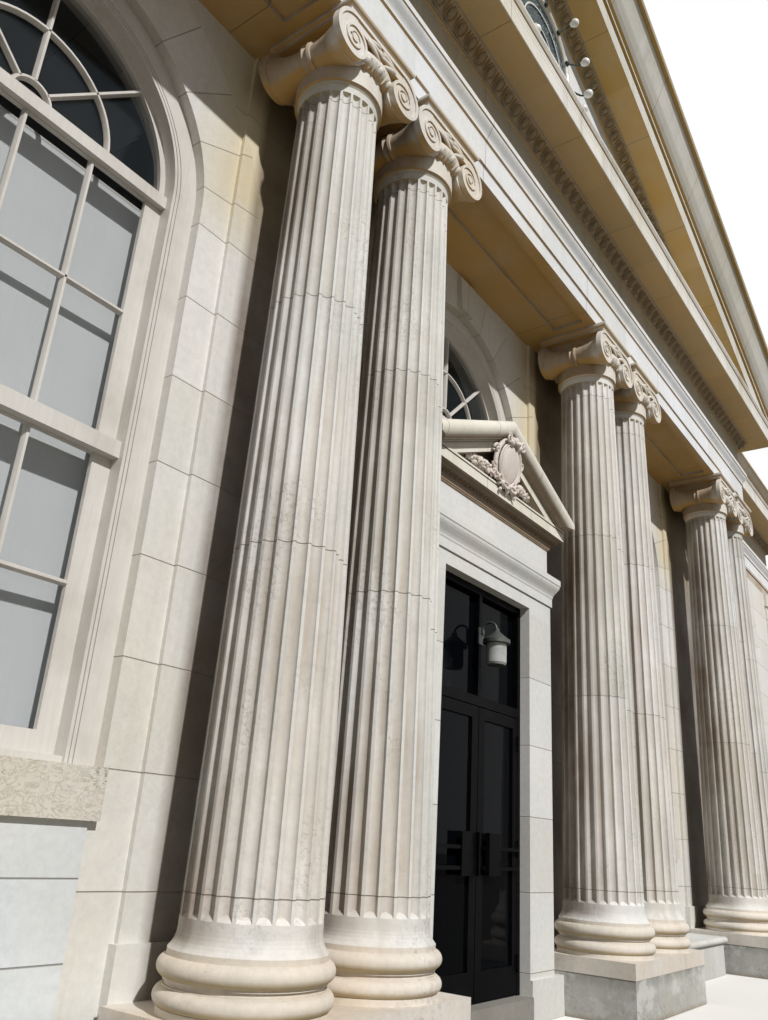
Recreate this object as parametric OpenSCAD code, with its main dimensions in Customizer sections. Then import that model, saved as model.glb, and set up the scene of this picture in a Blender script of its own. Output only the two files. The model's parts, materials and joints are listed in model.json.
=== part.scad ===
// Town hall with a pedimented portico of coupled, fluted Ionic columns.
// Lengths are in millimetres. X runs along the front, Y into the building, Z up.
// Sizes are named from the face of the main wall; the model is then centred in Y.

/* [Node] */
// Sub-part to show

/* [Plan] */
// Distance between window bays, centre to centre
bay = 4353; // [4000:1:4700]
// Distance between the two columns of a pair
pair_gap = 940; // [850:1:1050]
// Column axis in front of the wall face
column_out = 540; // [450:1:700]
// Half the width of the whole building
wing_half = 12800; // [11500:10:14000]
// Depth of the building between wall faces
depth = 15000; // [12000:10:18000]
// Thickness of the outer walls
wall_t = 450; // [300:10:600]

/* [Levels] */
// Floor and door sill
floor_z = 180; // [120:1:250]
// Top of the column plinths
plinth_top = 440; // [350:1:550]
// Thickness of the top slab of a plinth
slab_h = 120; // [80:1:160]
// Top of the column shaft
shaft_top = 5920; // [5700:1:6100]
// Underside of the architrave
arch_z = 6430; // [6200:1:6700]
// Underside of the frieze
frieze_z = 7050; // [6900:1:7200]
// Underside of the bed mould
bed_z = 7480; // [7350:1:7600]
// Underside of the corona
corona_z = 7630; // [7500:1:7800]
// Top of the level cornice
cornice_top = 7970; // [7800:1:8100]

/* [Columns] */
// Radius of the shaft at the foot
foot_r = 345; // [300:1:400]
// Radius of the shaft at the neck
neck_r = 275; // [240:1:320]
// Radius of the upper torus of the base
torus_r = 418; // [380:1:460]
// Radius of the fillet between base and shaft
ring_r = 380; // [350:1:400]
// Height of the column base
base_h = 265; // [220:1:320]
// Number of flutes on a shaft
flutes = 24; // [20:2:24]
// Radius of a flute at the foot of the shaft
flute_r = 37; // [30:1:38]
// Height of the flare at the foot of the shaft
flare_h = 90; // [60:1:120]
// Half the distance between the eyes of the volutes
eye_x = 284; // [270:1:300]
// Height of a volute's top over its eye
volute_r = 215; // [190:1:225]
// Face of the volutes in front of the column axis
volute_out = 354; // [335:1:370]
// Half the width of the abacus
abacus_half = 376; // [350:1:400]
// Height of the abacus with the recess under it
abacus_h = 75; // [60:1:90]
// Clearance of the plinth beside a column base
plinth_side = 10; // [5:1:80]
// Clearance of the plinth in front of a column base
plinth_front = 4; // [2:1:60]

/* [Pilasters] */
// Half the width of a pilaster behind a pair of columns
pilaster_half = 830; // [780:1:880]
// How far the pilasters stand out from the wall
pilaster_out = 30; // [20:1:50]
// Top of the base block of a pilaster
pier_top = 686; // [600:1:760]
// Width of a corner pier of the wings
anta_w = 640; // [500:1:800]
// Height of the cap of a corner pier
anta_cap_h = 260; // [180:1:320]

/* [Entablature] */
// How far the corona stands out from the frieze
corona_out = 445; // [380:1:520]
// How far the bed mould stands out
bed_out = 150; // [100:1:200]
// Height of the corona face
corona_h = 280; // [220:1:340]
// How far the cap of the corona stands out
cap_out = 475; // [400:1:560]
// How far the raking crown stands out
crown_out = 735; // [600:1:850]
// Height of the curve of the raking crown
crown_h = 420; // [350:1:500]
// Height of the fillet on top of the raking crown
crown_lip = 110; // [80:1:140]
// Thickness of the gable wall behind the raking cornice
gable_t = 300; // [200:1:400]
// Thickness of the roof over the portico and the hall
roof_t = 160; // [120:1:250]
// Top of the crown along the wings
wing_crown_top = 8100; // [8000:1:8300]
// How far the crown of the wings stands out
wing_crown_out = 600; // [500:1:700]
// Rise of the pediment per unit of run
rake = 0.345; // [0.28:0.005:0.40]

/* [Windows] */
// Half the width of the arched opening in the stone
open_r = 1115; // [1000:1:1200]
// Springing line of the arches
spring_z = 4910; // [4700:1:5100]
// Width of the painted band round a window
band_w = 125; // [90:1:160]
// Width of the beaded edge inside the band
bead_w = 50; // [30:1:60]
// Radius of the fanlight
fan_r = 900; // [850:1:930]
// Half the width of the lights in the sashes
light_half = 822; // [780:1:860]
// Face of the painted band, behind the wall face
frame_y = 75; // [40:1:100]
// Face of the sashes, behind the wall face
sash_y = 170; // [140:1:190]
// Glass, behind the wall face
glass_y = 200; // [195:1:240]
// Middle of the transom between the upper and the lower sash
mid_z = 3140; // [2900:1:3400]
// Height of the transom between the sashes
mid_h = 100; // [70:1:130]
// Height of the transom at the springing line
spring_h = 85; // [60:1:120]
// Height of the bottom rail with the timber sill
rail_h = 150; // [110:1:200]
// Top of the stone sill slab
sill_top = 1463; // [1350:1:1550]
// Height of the stone sill slab
sill_h = 243; // [200:1:280]
// Foot of the panel under a window
apron_z = 300; // [200:1:400]
// Centre of the windows in the wings
wing_window_x = 9760; // [9400:10:10200]

/* [Doorway] */
// Half the clear width between the jambs
door_half = 710; // [650:1:800]
// Underside of the lintel
door_top = 3225; // [3100:1:3350]
// Width of a jamb
jamb_w = 430; // [350:1:500]
// Face of the door surround in front of the wall
portal_out = 340; // [280:1:400]
// Top of the door head moulding
portal_head_top = 3605; // [3500:1:3750]
// Top of the frieze over the door
portal_frieze_top = 3880; // [3800:1:4050]
// Height of the level cornice of the door pediment
portal_cornice_h = 215; // [170:1:240]
// How far the corona of the door pediment stands out from the surround
portal_corona = 120; // [90:1:150]
// How far the round crown of the door pediment stands out
portal_crown = 240; // [200:1:280]
// Radius of the round crown of the door pediment
round_r = 75; // [55:1:90]
// Rise of the door pediment per unit of run
portal_rake = 0.44; // [0.36:0.01:0.5]
// How far the ends of the raking cornice sink into the level one
portal_sink = 170; // [130:1:200]
// Depth of the reveal in front of the door
reveal = 90; // [60:1:130]
// Height of a door leaf
leaf_h = 2060; // [2000:1:2200]
// Thickness of a door leaf
leaf_t = 45; // [35:1:60]
// Gap round a leaf
leaf_gap = 8; // [6:1:12]
// Opening angle of the left leaf
left_open = 0; // [0:1:90]
// Opening angle of the right leaf
right_open = 0; // [0:1:90]

/* [Benches and lantern] */
// Top of the stone benches under the windows
bench_top = 400; // [350:1:450]
// Front of the bench slabs, before the wall face
bench_out = 520; // [450:1:600]
// Gap between a bench slab and the plinths beside it
bench_gap = 79; // [30:1:110]
// Thickness of a bench slab
bench_h = 70; // [50:1:100]
// Underside of the lantern
lantern_z = 2570; // [2450:1:2700]
// Radius of the glass of the lantern
lantern_r = 81; // [60:1:100]

/* [Hidden] */

pairs = [-1.5 * bay, -0.5 * bay, 0.5 * bay, 1.5 * bay];
far = 20000;
plinth_half = pair_gap / 2 + torus_r + plinth_side;
plinth_deep = torus_r + plinth_front;
column_xs = [for (p = pairs, s = [-0.5, 0.5]) p + s * pair_gap];
front_out = column_out + neck_r;
portico_half = 1.5 * bay + pair_gap / 2 + neck_r;
front_y = -(front_out + crown_out);
back_y = depth + wing_crown_out;
mid_y = (front_y + back_y) / 2;
shaft_h = shaft_top - plinth_top - base_h;
shaft_tilt = atan((foot_r - neck_r) / shaft_h);
neck_out = neck_r + 14;
flute_lo = flare_h + 35;
flute_hi = 70;
volute_t = 50;
volute_eye = round(0.14 * volute_r);
fillet_w = round(0.13 * volute_r);
face_relief = 10;
sash_inner = open_r - band_w - bead_w;
rebate = 8;
pane_t = 8;
timber_h = 40;
light_lip = 6;
back_window_xs = [-wing_window_x, -bay, 0, bay, wing_window_x];
portal_half = door_half + jamb_w;
portal_top = portal_frieze_top + portal_cornice_h;
foot_out = 60;
mortar = 1;
rake_a = atan(rake);
corona_end = portico_half + corona_out;
apex_z = corona_z + rake * corona_end;
bed_h = corona_z - bed_z;
window_xs = [-wing_window_x, -bay, bay, wing_window_x];
side_ys = [depth / 2 - bay, depth / 2, depth / 2 + bay];
post_w = 50;
post_d = 120;
knuckle_r = 7;
hinge_gap = 8;
meet_gap = 5;
hinge_x = door_half - post_w - leaf_gap / 2;
hinge_y = -portal_out + reveal;
leaf_z = floor_z + leaf_gap;
head_z = leaf_z + leaf_h + leaf_gap;
hinge_zs = [180, leaf_h / 2 - 30, leaf_h - 240];
roof_lo = corona_h + crown_h;
roof_hi = roof_lo + roof_t;
roof_x = portico_half + crown_out - 410;
stone = [0.86, 0.82, 0.74];
dark = [0.08, 0.08, 0.09];
$fn = 64;

function ease(t) = (1 - cos(180 * t)) / 2;
// Ogee that starts and ends upright
function reversa(p0, z0, p1, z1, n = 6) =
    [for (i = [0:n]) [p0 + (p1 - p0) * ease(i / n), z0 + (z1 - z0) * i / n]];
// Ogee that starts and ends level
function recta(p0, z0, p1, z1, n = 8) =
    [for (i = [0:n]) [p0 + (p1 - p0) * i / n, z0 + (z1 - z0) * ease(i / n)]];

// Outlines from the frieze face: how far out, and how high
arch_pts = concat([[0, arch_z], [0, arch_z + 160], [18, arch_z + 160], [18, arch_z + 415]],
    [[34, arch_z + 425]], reversa(34, arch_z + 440, 85, arch_z + 560), [[95, arch_z + 565], [95, frieze_z]]);
frieze_pts = [[0, frieze_z], [0, bed_z]];
bed_pts = concat([[0, bed_z], [20, bed_z], [20, bed_z + 25]], reversa(25, bed_z + 25, bed_out, corona_z));
corona_pts = [[corona_out, corona_z], [corona_out, corona_z + corona_h],
    [corona_out + 12, corona_z + corona_h]];
level_pts = concat(bed_pts, corona_pts, [[cap_out, cornice_top - 25], [cap_out, cornice_top]]);
wing_pts = concat(level_pts, recta(cap_out, cornice_top, wing_crown_out, wing_crown_top - 35, 5),
    [[wing_crown_out, wing_crown_top]]);
side_crown_pts = concat(recta(cap_out, cornice_top, crown_out, cornice_top + 0.786 * crown_h, 8),
    [[crown_out, cornice_top + 0.786 * crown_h + 0.91 * crown_lip]]);

module at_origin() {
    translate([0, -mid_y, 0]) children();
}

module both() {
    children();
    mirror([1, 0, 0]) children();
}

// Extrudes a (Y, Z) outline along X
module along_x(x0, x1) {
    translate([x0, 0, 0]) rotate([90, 0, 90]) linear_extrude(x1 - x0) children();
}

// Extrudes an (X, Z) outline along Y
module along_y(y0, y1) {
    translate([0, y1, 0]) rotate([90, 0, 0]) linear_extrude(y1 - y0) children();
}

module box(x0, x1, y0, y1, z0, z1) {
    translate([x0, y0, z0]) cube([x1 - x0, y1 - y0, z1 - z0]);
}

// Mitred block: outline on the front and on both ends, square at the back
module front_block(pts, half, front, back) {
    n = len(pts) - 1;
    intersection() {
        along_x(-half - 1000, half + 1000)
            polygon(concat([for (q = pts) [-(front + q[0]), q[1]]], [[back, pts[n][1]], [back, pts[0][1]]]));
        along_y(-front - 1000, back)
            polygon(concat([for (q = pts) [half + q[0], q[1]]],
                [for (i = [n:-1:0]) [-half - pts[i][0], pts[i][1]]]));
    }
}

// Mitred ring round the whole building, hollow inside the walls
module wall_ring(pts) {
    n = len(pts) - 1;
    difference() {
        intersection() {
            along_x(-wing_half - 1000, wing_half + 1000)
                polygon(concat([for (q = pts) [-q[0], q[1]]],
                    [for (i = [n:-1:0]) [depth + pts[i][0], pts[i][1]]]));
            along_y(-1000, depth + 1000)
                polygon(concat([for (q = pts) [wing_half + q[0], q[1]]],
                    [for (i = [n:-1:0]) [-wing_half - pts[i][0], pts[i][1]]]));
        }
        box(-wing_half + wall_t, wing_half - wall_t, wall_t, depth - wall_t, pts[0][1] - 10, pts[n][1] + 10);
    }
}

// Moves its children from the front wall's face to the front (0), right (1), back (2) or left (3) wall
module on_wall(side, at) {
    place = [[at, 0], [wing_half, at], [at, depth], [-wing_half, at]][side];
    translate([place[0], place[1], 0]) rotate([0, 0, 90 * side]) children();
}

// Arched outline in (X, Z)
module arch_shape(x, r, z0, zs) {
    translate([x, zs]) intersection() {
        circle(r);
        translate([-r, 0]) square([2 * r, r]);
    }
    translate([x - r, z0]) square([2 * r, zs - z0]);
}

module arch_holes(xs, z0) {
    for (x = xs) along_y(-100, wall_t + 100) arch_shape(x, open_r, z0, spring_z);
}

module plinth_blocks() {
    half = plinth_half - plinth_front;
    color([0.5, 0.5, 0.48]) for (x = pairs)
        box(x - half, x + half, -column_out - torus_r, -foot_out, 0, plinth_top - slab_h);
}

module plinth_slabs() {
    color(stone) for (x = pairs)
        box(x - plinth_half, x + plinth_half, -column_out - plinth_deep, -foot_out,
            plinth_top - slab_h, plinth_top);
}

// Attic base: lower torus on its fillet, narrow neck, upper torus and the fillet under the shaft
module base_profile() {
    h = base_h;
    low_r = 0.16 * h;
    high_r = 0.175 * h;
    fillet = torus_r - 34;
    square([torus_r - 20, 0.12 * h]);
    square([torus_r - 50, h]);
    translate([torus_r + 2 - low_r, 0.27 * h]) circle(low_r);
    translate([0, 0.41 * h]) square([fillet, 0.04 * h]);
    translate([0, 0.52 * h]) square([fillet, 0.05 * h]);
    translate([torus_r - high_r, 0.725 * h]) circle(high_r);
    square([torus_r - high_r, 0.8 * h]);
    translate([0, 0.88 * h]) square([ring_r, 0.12 * h]);
}

module column_bases() {
    color(stone) for (x = column_xs)
        translate([x, -column_out, plinth_top]) rotate_extrude() base_profile();
}

// Radius of the shaft at a height over its foot
function shaft_r(z) = foot_r + (neck_r - foot_r) * z / shaft_h;

// Cutter for one flute: a slim cone along the face of the shaft, its ends cut on the slant
module flute() {
    slant = 1.6 * flute_r;
    translate([foot_r + 0.16 * flute_r, 0, 0]) rotate([0, -shaft_tilt, 0]) intersection() {
        cylinder(h = shaft_h, r1 = flute_r, r2 = flute_r * neck_r / foot_r);
        rotate([90, 0, 0]) linear_extrude(3 * flute_r, center = true)
            polygon([[-slant, flute_lo + slant], [slant, flute_lo - slant],
                [slant, shaft_h - flute_hi + slant], [-slant, shaft_h - flute_hi - slant]]);
    }
}

// Tapering shaft with a flared foot and neck, and round-ended flutes
module fluted_shaft() {
    flare = ring_r - foot_r;
    difference() {
        rotate_extrude() polygon(concat([[0, 0]],
            [for (i = [0:5]) let (t = i / 5) [shaft_r(flare_h * t) + flare * pow(1 - t, 2.4), flare_h * t]],
            [[shaft_r(shaft_h - flute_hi), shaft_h - flute_hi], [neck_r + 4, shaft_h - 30],
                [neck_out, shaft_h - 12], [neck_out, shaft_h], [0, shaft_h]]));
        for (i = [0:flutes - 1]) rotate([0, 0, (i + 0.5) * 360 / flutes]) flute();
    }
}

module column_shafts() {
    color(stone) for (x = column_xs) translate([x, -column_out, plinth_top + base_h]) fluted_shaft();
}

// A volute is drawn with quarter arcs that shrink inwards from its top, each centre on the line
// between the last centre and the last arc's end, so that the arcs run on smoothly. Its eye is at the origin.
function arc_r(k) = round(0.93 * volute_r * pow(0.845, k));
function arc_end(k) = [[1, 0], [0, -1], [-1, 0], [0, 1]][k % 4];
function arc_c(k) = k == 0 ? [-round(0.084 * volute_r), volute_r - arc_r(0)]
    : arc_c(k - 1) + (arc_r(k - 1) - arc_r(k)) * arc_end(k - 1);

// Quarter of a disc under one arc
module quarter(k) {
    corner = arc_end(k) + arc_end(k + 3);
    translate(arc_c(k)) intersection() {
        circle(arc_r(k));
        translate([min(corner[0], 0), min(corner[1], 0)] * volute_r) square(volute_r);
    }
}

module volute_disc() {
    for (k = [0:3]) quarter(k);
    circle(volute_eye);
}

// Raised fillet that follows the arcs and narrows towards the eye
module volute_fillet() {
    for (k = [0:8]) difference() {
        quarter(k);
        translate(arc_c(k)) circle(arc_r(k) - fillet_w + 2 * k);
    }
    circle(volute_eye);
}

// Side roll of the capital, waisted and tied by two rings in the middle
module bolster() {
    half = volute_out - volute_t + 5;
    r0 = 0.47 * volute_r;
    r1 = 0.76 * volute_r;
    c = 0.18 * volute_r;
    n = 4;
    flare = [for (i = [0:n]) let (t = i / n) [r0 + (r1 - r0) * pow(t, 2.2), c + (half - c) * t]];
    rings = [[0.4, -1], [0.57, -0.57], [0.13, -0.1], [0.13, 0.1], [0.57, 0.57], [0.4, 1]];
    rotate([90, 0, 0]) rotate_extrude() polygon(concat(
        [[0, -half]], [for (i = [n:-1:0]) [flare[i][0], -flare[i][1]]],
        [for (q = rings) [r0 + c * q[0], c * q[1]]], flare, [[0, half]]));
}

// One face of the capital: two volutes, joined by the sunk canalis between two fillets
module capital_face() {
    low = arc_c(4)[1] + arc_r(4);
    along_y(-volute_out + face_relief, -volute_out + volute_t) both() translate([eye_x, 0]) volute_disc();
    along_y(-volute_out, -volute_out + face_relief + 4) both() translate([eye_x, 0]) volute_fillet();
    along_y(-volute_out, -volute_out + volute_t) {
        translate([-eye_x, volute_r - fillet_w]) square([2 * eye_x, fillet_w]);
        translate([-eye_x, low - 0.6 * fillet_w]) square([2 * eye_x, 0.6 * fillet_w]);
    }
}

// Ionic capital: two-ringed astragal, echinus, canalis with four volutes, bolsters and abacus
module capital() {
    top = arch_z - shaft_top;
    eye_z = top - abacus_h - volute_r;
    ring = top / 30;
    bulge = 4.7 * ring;
    echinus = neck_r + 5.3 * ring;
    canalis = volute_out - face_relief - 3;
    rotate_extrude() {
        square([neck_r, eye_z + bulge / 2]);
        translate([neck_out, ring]) circle(ring);
        square([neck_out, 3 * ring]);
        translate([neck_out, 2.7 * ring]) circle(0.7 * ring);
        intersection() {
            translate([echinus - bulge, eye_z + 0.6 * ring]) circle(bulge);
            square([echinus, eye_z + 3 * ring]);
        }
        square([echinus - 3.5 * ring, eye_z + arc_r(4) + ring / 2]);
    }
    translate([0, 0, eye_z]) {
        box(-eye_x, eye_x, -canalis, canalis, arc_r(4), volute_r);
        capital_face();
        rotate([0, 0, 180]) capital_face();
        both() translate([eye_x, 0, 0]) bolster();
    }
    edge = [[-0.4, 1.03], [-0.4, 0.73], [-0.3, 0.59], [-0.1, 0.48], [0, 0.32], [0, 0]];
    front_block([for (q = edge) [abacus_h * q[0], top - abacus_h * q[1]]],
        abacus_half, abacus_half, abacus_half);
}

module column_capitals() {
    color(stone) for (x = column_xs) translate([x, -column_out, shaft_top]) capital();
}

module wall_pilasters() {
    color(stone) for (x = pairs) {
        box(x - pilaster_half, x + pilaster_half, -pilaster_out, 0, pier_top, arch_z);
        box(x - pilaster_half - pilaster_out, x + pilaster_half + pilaster_out, -foot_out, 0, 0, pier_top);
    }
}

// Corner piers of the wings: a shaft and a wider cap, wrapped round each corner
module corner_antae() {
    cap = 0.8 * pilaster_out;
    color(stone) for (sx = [0, 1], sy = [0, 1])
        translate([(1 - 2 * sx) * wing_half, sy * depth, 0]) mirror([sx, 0, 0]) mirror([0, sy, 0]) difference() {
            union() {
                box(-anta_w, pilaster_out, -pilaster_out, anta_w, 0, arch_z - anta_cap_h);
                box(-anta_w - cap, pilaster_out + cap, -pilaster_out - cap, anta_w + cap,
                    arch_z - anta_cap_h, arch_z);
            }
            box(-far, 0, 0, far, -10, arch_z + 10);
        }
}

module front_wall_left() {
    color(stone) difference() {
        box(-wing_half, -open_r, 0, wall_t, 0, arch_z);
        arch_holes([-wing_window_x, -bay], sill_top - sill_h);
    }
}

module front_wall_right() {
    mirror([1, 0, 0]) front_wall_left();
}

module front_wall_arch() {
    color(stone) difference() {
        box(-open_r, open_r, 0, wall_t, spring_z, arch_z);
        along_y(-100, wall_t + 100) arch_shape(0, open_r, spring_z - 500, spring_z);
    }
}

module side_wall_left() {
    color(stone) difference() {
        box(-wing_half, -wing_half + wall_t, wall_t, depth - wall_t, 0, arch_z);
        for (y = side_ys)
            along_x(-wing_half - 100, -wing_half + wall_t + 100)
                arch_shape(y, open_r, sill_top - sill_h, spring_z);
    }
}

module side_wall_right() {
    mirror([1, 0, 0]) side_wall_left();
}

module back_wall() {
    color(stone) difference() {
        box(-wing_half, wing_half, depth - wall_t, depth, 0, arch_z);
        translate([0, depth - wall_t, 0]) arch_holes(back_window_xs, sill_top - sill_h);
    }
}

module floor_slab() {
    color([0.6, 0.58, 0.55]) box(-wing_half + wall_t, wing_half - wall_t, wall_t, depth - wall_t, 0, floor_z);
}

// Every full window of the four walls
module around_windows() {
    for (x = window_xs) on_wall(0, x) children();
    for (x = back_window_xs) on_wall(2, x) children();
    for (y = side_ys, side = [1, 3]) on_wall(side, y) children();
}

module window_sills() {
    color(stone) around_windows() box(-open_r, open_r, -45, glass_y + 60, sill_top - sill_h, sill_top);
}

module window_aprons() {
    half = open_r - 40;
    color(stone) for (x = window_xs) box(x - half, x + half, -12, 0, apron_z, sill_top - sill_h);
}

// Thin line that follows an arched outline
module arch_line(r, w, z0) {
    difference() {
        arch_shape(0, r, z0 - 20, spring_z);
        arch_shape(0, r - w, z0 - 30, spring_z);
    }
}

// Openings of the fanlight and of the sashes under it
module lights(z0, sashes) {
    high = spring_z - spring_h - light_lip;
    low = z0 + rail_h;
    mid = mid_h / 2 + light_lip;
    translate([0, spring_z]) intersection() {
        circle(fan_r);
        translate([-fan_r, light_lip]) square([2 * fan_r, fan_r]);
    }
    difference() {
        translate([-light_half, low]) square([2 * light_half, high - low]);
        if (sashes) translate([-fan_r, mid_z - mid]) square([2 * fan_r, 2 * mid]);
    }
}

// Arched window: painted band with a beaded edge, timber sill, two sashes between transoms, and a fanlight
module window_frame(z0, sashes = true) {
    end = sash_inner + 5;
    back = glass_y + 40;
    color([0.84, 0.79, 0.72]) {
        difference() {
            along_y(frame_y, back) arch_shape(0, open_r, z0, spring_z);
            for (r = [sash_inner + bead_w, sash_inner + bead_w / 2])
                along_y(frame_y - 10, frame_y + 10) arch_line(r, 6, z0);
            along_y(frame_y - 20, sash_y) arch_shape(0, sash_inner, z0 - 10, spring_z);
            along_y(sash_y - 10, glass_y + 10) lights(z0, sashes);
            along_y(glass_y, back + 10) arch_shape(0, fan_r + rebate, z0 + rail_h - rebate, spring_z);
        }
        box(-end, end, frame_y + 20, sash_y + 10, z0, z0 + timber_h);
        box(-end, end, sash_y - 40, sash_y + 10, spring_z - spring_h, spring_z);
        if (sashes) box(-end, end, sash_y - 60, sash_y + 10, mid_z - mid_h / 2, mid_z + mid_h / 2);
    }
}

module front_window_frames() {
    for (x = window_xs) on_wall(0, x) window_frame(sill_top);
    window_frame(portal_top, false);
}

module side_window_frames() {
    for (y = side_ys, side = [1, 3]) on_wall(side, y) window_frame(sill_top);
}

module back_window_frames() {
    for (x = back_window_xs) on_wall(2, x) window_frame(sill_top);
}

module pane(z0) {
    along_y(glass_y, glass_y + pane_t) arch_shape(0, fan_r + rebate, z0 + rail_h - rebate, spring_z);
}

module window_glass() {
    color([0.5, 0.6, 0.7, 0.4]) {
        around_windows() pane(sill_top);
        pane(portal_top);
    }
}

module keystones() {
    z0 = spring_z + open_r + 5;
    z1 = arch_z - 60;
    low = 0.094 * open_r;
    high = 0.126 * open_r;
    color(stone) for (x = [-bay, 0, bay])
        along_y(-45, 0) polygon([[x - low, z0], [x + low, z0], [x + high, z1], [x - high, z1]]);
}

module portal_jambs() {
    color(stone) both() difference() {
        union() {
            box(door_half, portal_half, -portal_out, 0, 0, door_top);
            box(door_half, open_r, 0, wall_t, 0, door_top);
            box(door_half, portal_half + 160, -portal_out - 20, -foot_out, 0, floor_z + 110);
        }
        box(bay / 2 - plinth_half, bay, -far, -foot_out, -10, plinth_top);
        box(bay / 2 - pilaster_half - pilaster_out, bay, -foot_out, 10, -10, pier_top);
    }
}

// Leaves room for the pilasters beside the doorway
module clear_of_pilasters() {
    difference() {
        children();
        both() box(bay / 2 - pilaster_half, bay / 2 + pilaster_half, -pilaster_out, 10, pier_top, arch_z);
    }
}

// Lintel with two fasciae under a hollow moulding, and the plain frieze over it
module portal_head() {
    h = portal_head_top - door_top;
    color(stone) clear_of_pilasters() {
        front_block(concat([[0, door_top], [0, door_top + 0.27 * h], [-10, door_top + 0.27 * h],
            [-10, door_top + 0.3 * h], [14, door_top + 0.3 * h], [14, door_top + 0.5 * h]],
            reversa(18, door_top + 0.52 * h, 70, door_top + 0.84 * h),
            [[76, door_top + 0.86 * h], [76, portal_head_top]]), portal_half, portal_out, 0);
        front_block([[0, portal_head_top], [0, portal_frieze_top]], portal_half - 60, portal_out, 0);
        box(-open_r, open_r, 0, wall_t, door_top, portal_top);
    }
}

// One side of the raking cornice over the door: fascia, two fillets and a round crown
module portal_raking(half) {
    face = -portal_out - portal_corona;
    crown = -portal_out - portal_crown + round_r;
    low = 105;
    high = low + 1.9 * round_r;
    top = portal_top + 800;
    end = half + portal_corona;
    intersection() {
        translate([end, 0, portal_top - portal_sink]) rotate([0, atan(portal_rake), 0])
            mirror([1, 0, 0]) along_x(-400, 2000) {
                polygon([[face, 0], [face, low - 27], [face + 8, low - 27], [face + 8, low - 18],
                    [face - 10, low - 18], [face - 10, low - 8], [crown, low - 8], [crown, high], [0, high], [0, 0]]);
                translate([crown, low + round_r]) circle(round_r);
            }
        box(0, end, -portal_out - 400, 0, portal_top, top);
    }
}

// Level cornice of the doorway, its raking cornices and the gable field between them
module portal_pediment() {
    half = portal_half - 60;
    out = portal_corona;
    z0 = portal_frieze_top;
    z1 = z0 + portal_cornice_h / 2;
    z2 = portal_top;
    foot = z2 - 15;
    color(stone) clear_of_pilasters() {
        front_block(concat([[0, z0], [12, z0], [12, z0 + 12], [22, z0 + 12]],
            reversa(22, z0 + 24, 86, z1 - 6, 5), [[out, z1], [out, z2 - 28], [out - 8, z2 - 28]],
            [[out - 8, z2 - 18], [out + 6, z2 - 18], [out + 6, z2]]), half, portal_out, 0);
        along_y(-portal_out - 20, 0)
            polygon([[-half + 60, foot], [half - 60, foot], [0, foot + portal_rake * half]]);
        both() portal_raking(half);
    }
}

module door_step() {
    color([0.45, 0.45, 0.44]) {
        box(-door_half, door_half, -portal_out - 30, wall_t, 0, floor_z);
    }
}

// One part of a hinge: a knuckle on the hinge line and the plate that carries it
module knuckle(z, h, side) {
    translate([0, 0, z]) cylinder(h = h, r = knuckle_r);
    box(min(0, side * 34), max(0, side * 34), hinge_gap - 4, hinge_gap, z, z + h);
}

module door_frame() {
    y0 = hinge_y;
    color(dark) {
        both() {
            box(door_half - post_w, door_half, y0, y0 + post_d, floor_z, door_top);
            for (z = hinge_zs) translate([hinge_x, y0 - hinge_gap, leaf_z]) {
                knuckle(z - 32, 30, 1);
                knuckle(z + 62, 30, 1);
            }
        }
        box(-door_half + post_w, door_half - post_w, y0, y0 + post_d, door_top - 60, door_top);
        box(-door_half + post_w, door_half - post_w, y0, y0 + post_d, head_z, head_z + 75);
        box(-22, 22, y0, y0 + post_d, head_z + 75, door_top - 60);
    }
}

module transom_glass() {
    y0 = hinge_y + 50;
    color([0.2, 0.22, 0.25, 0.4]) both()
        box(22, door_half - post_w, y0, y0 + 10, head_z + 75, door_top - 60);
}

// Right leaf with its hinge line at the origin, closed along -X
module leaf_metal() {
    x0 = -hinge_x + meet_gap;
    x1 = -leaf_gap / 2;
    difference() {
        box(x0, x1, hinge_gap, hinge_gap + leaf_t, 0, leaf_h);
        box(x0 + 95, x1 - 75, hinge_gap - 10, hinge_gap + leaf_t + 10, 200, leaf_h - 90);
    }
    for (z = [870, 1010]) {
        box(x0 + 40, x1 - 25, hinge_gap - 38, hinge_gap - 18, z, z + 25);
        for (x = [x0 + 40, x1 - 45]) box(x, x + 20, hinge_gap - 38, hinge_gap, z, z + 25);
    }
    box(x0 + 65, x0 + 280, hinge_gap - 46, hinge_gap - 38, 830, 1130);
    box(x0 + 65, x0 + 79, hinge_gap - 74, hinge_gap - 46, 830, 1130);
    for (z = hinge_zs) knuckle(z, 60, -1);
}

module leaf_pane() {
    y = hinge_gap + leaf_t / 2;
    box(-hinge_x + meet_gap + 95, -leaf_gap / 2 - 75, y - 4, y + 4, 200, leaf_h - 90);
}

module place_right() {
    translate([hinge_x, hinge_y - hinge_gap, leaf_z]) rotate([0, 0, right_open]) children();
}

module place_left() {
    translate([-hinge_x, hinge_y - hinge_gap, leaf_z]) rotate([0, 0, -left_open])
        mirror([1, 0, 0]) children();
}

module left_leaf() {
    color(dark) place_left() leaf_metal();
}

module left_leaf_glass() {
    color([0.2, 0.22, 0.25, 0.4]) place_left() leaf_pane();
}

module right_leaf() {
    color(dark) place_right() leaf_metal();
}

module right_leaf_glass() {
    color([0.2, 0.22, 0.25, 0.4]) place_right() leaf_pane();
}

// Architrave with a long sunk panel in its underside over each open bay
module portico_architrave() {
    panel = bay / 2 - pair_gap / 2 - abacus_half - 90;
    deep = 0.6 * neck_r;
    color(stone) difference() {
        front_block(arch_pts, portico_half, front_out, 0);
        for (x = [-bay, 0, bay])
            box(x - panel, x + panel, -column_out - deep, -column_out + deep, arch_z - 10, arch_z + 40);
    }
}

module portico_frieze() {
    color(stone) front_block(frieze_pts, portico_half, front_out, 0);
}

module portico_cornice() {
    color(stone) front_block(level_pts, portico_half, front_out, 0);
}

// Frame with its origin at the foot of the rake, X up the slope
module on_rake() {
    translate([corona_end, 0, corona_z]) rotate([0, rake_a, 0]) mirror([1, 0, 0]) children();
}

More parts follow.
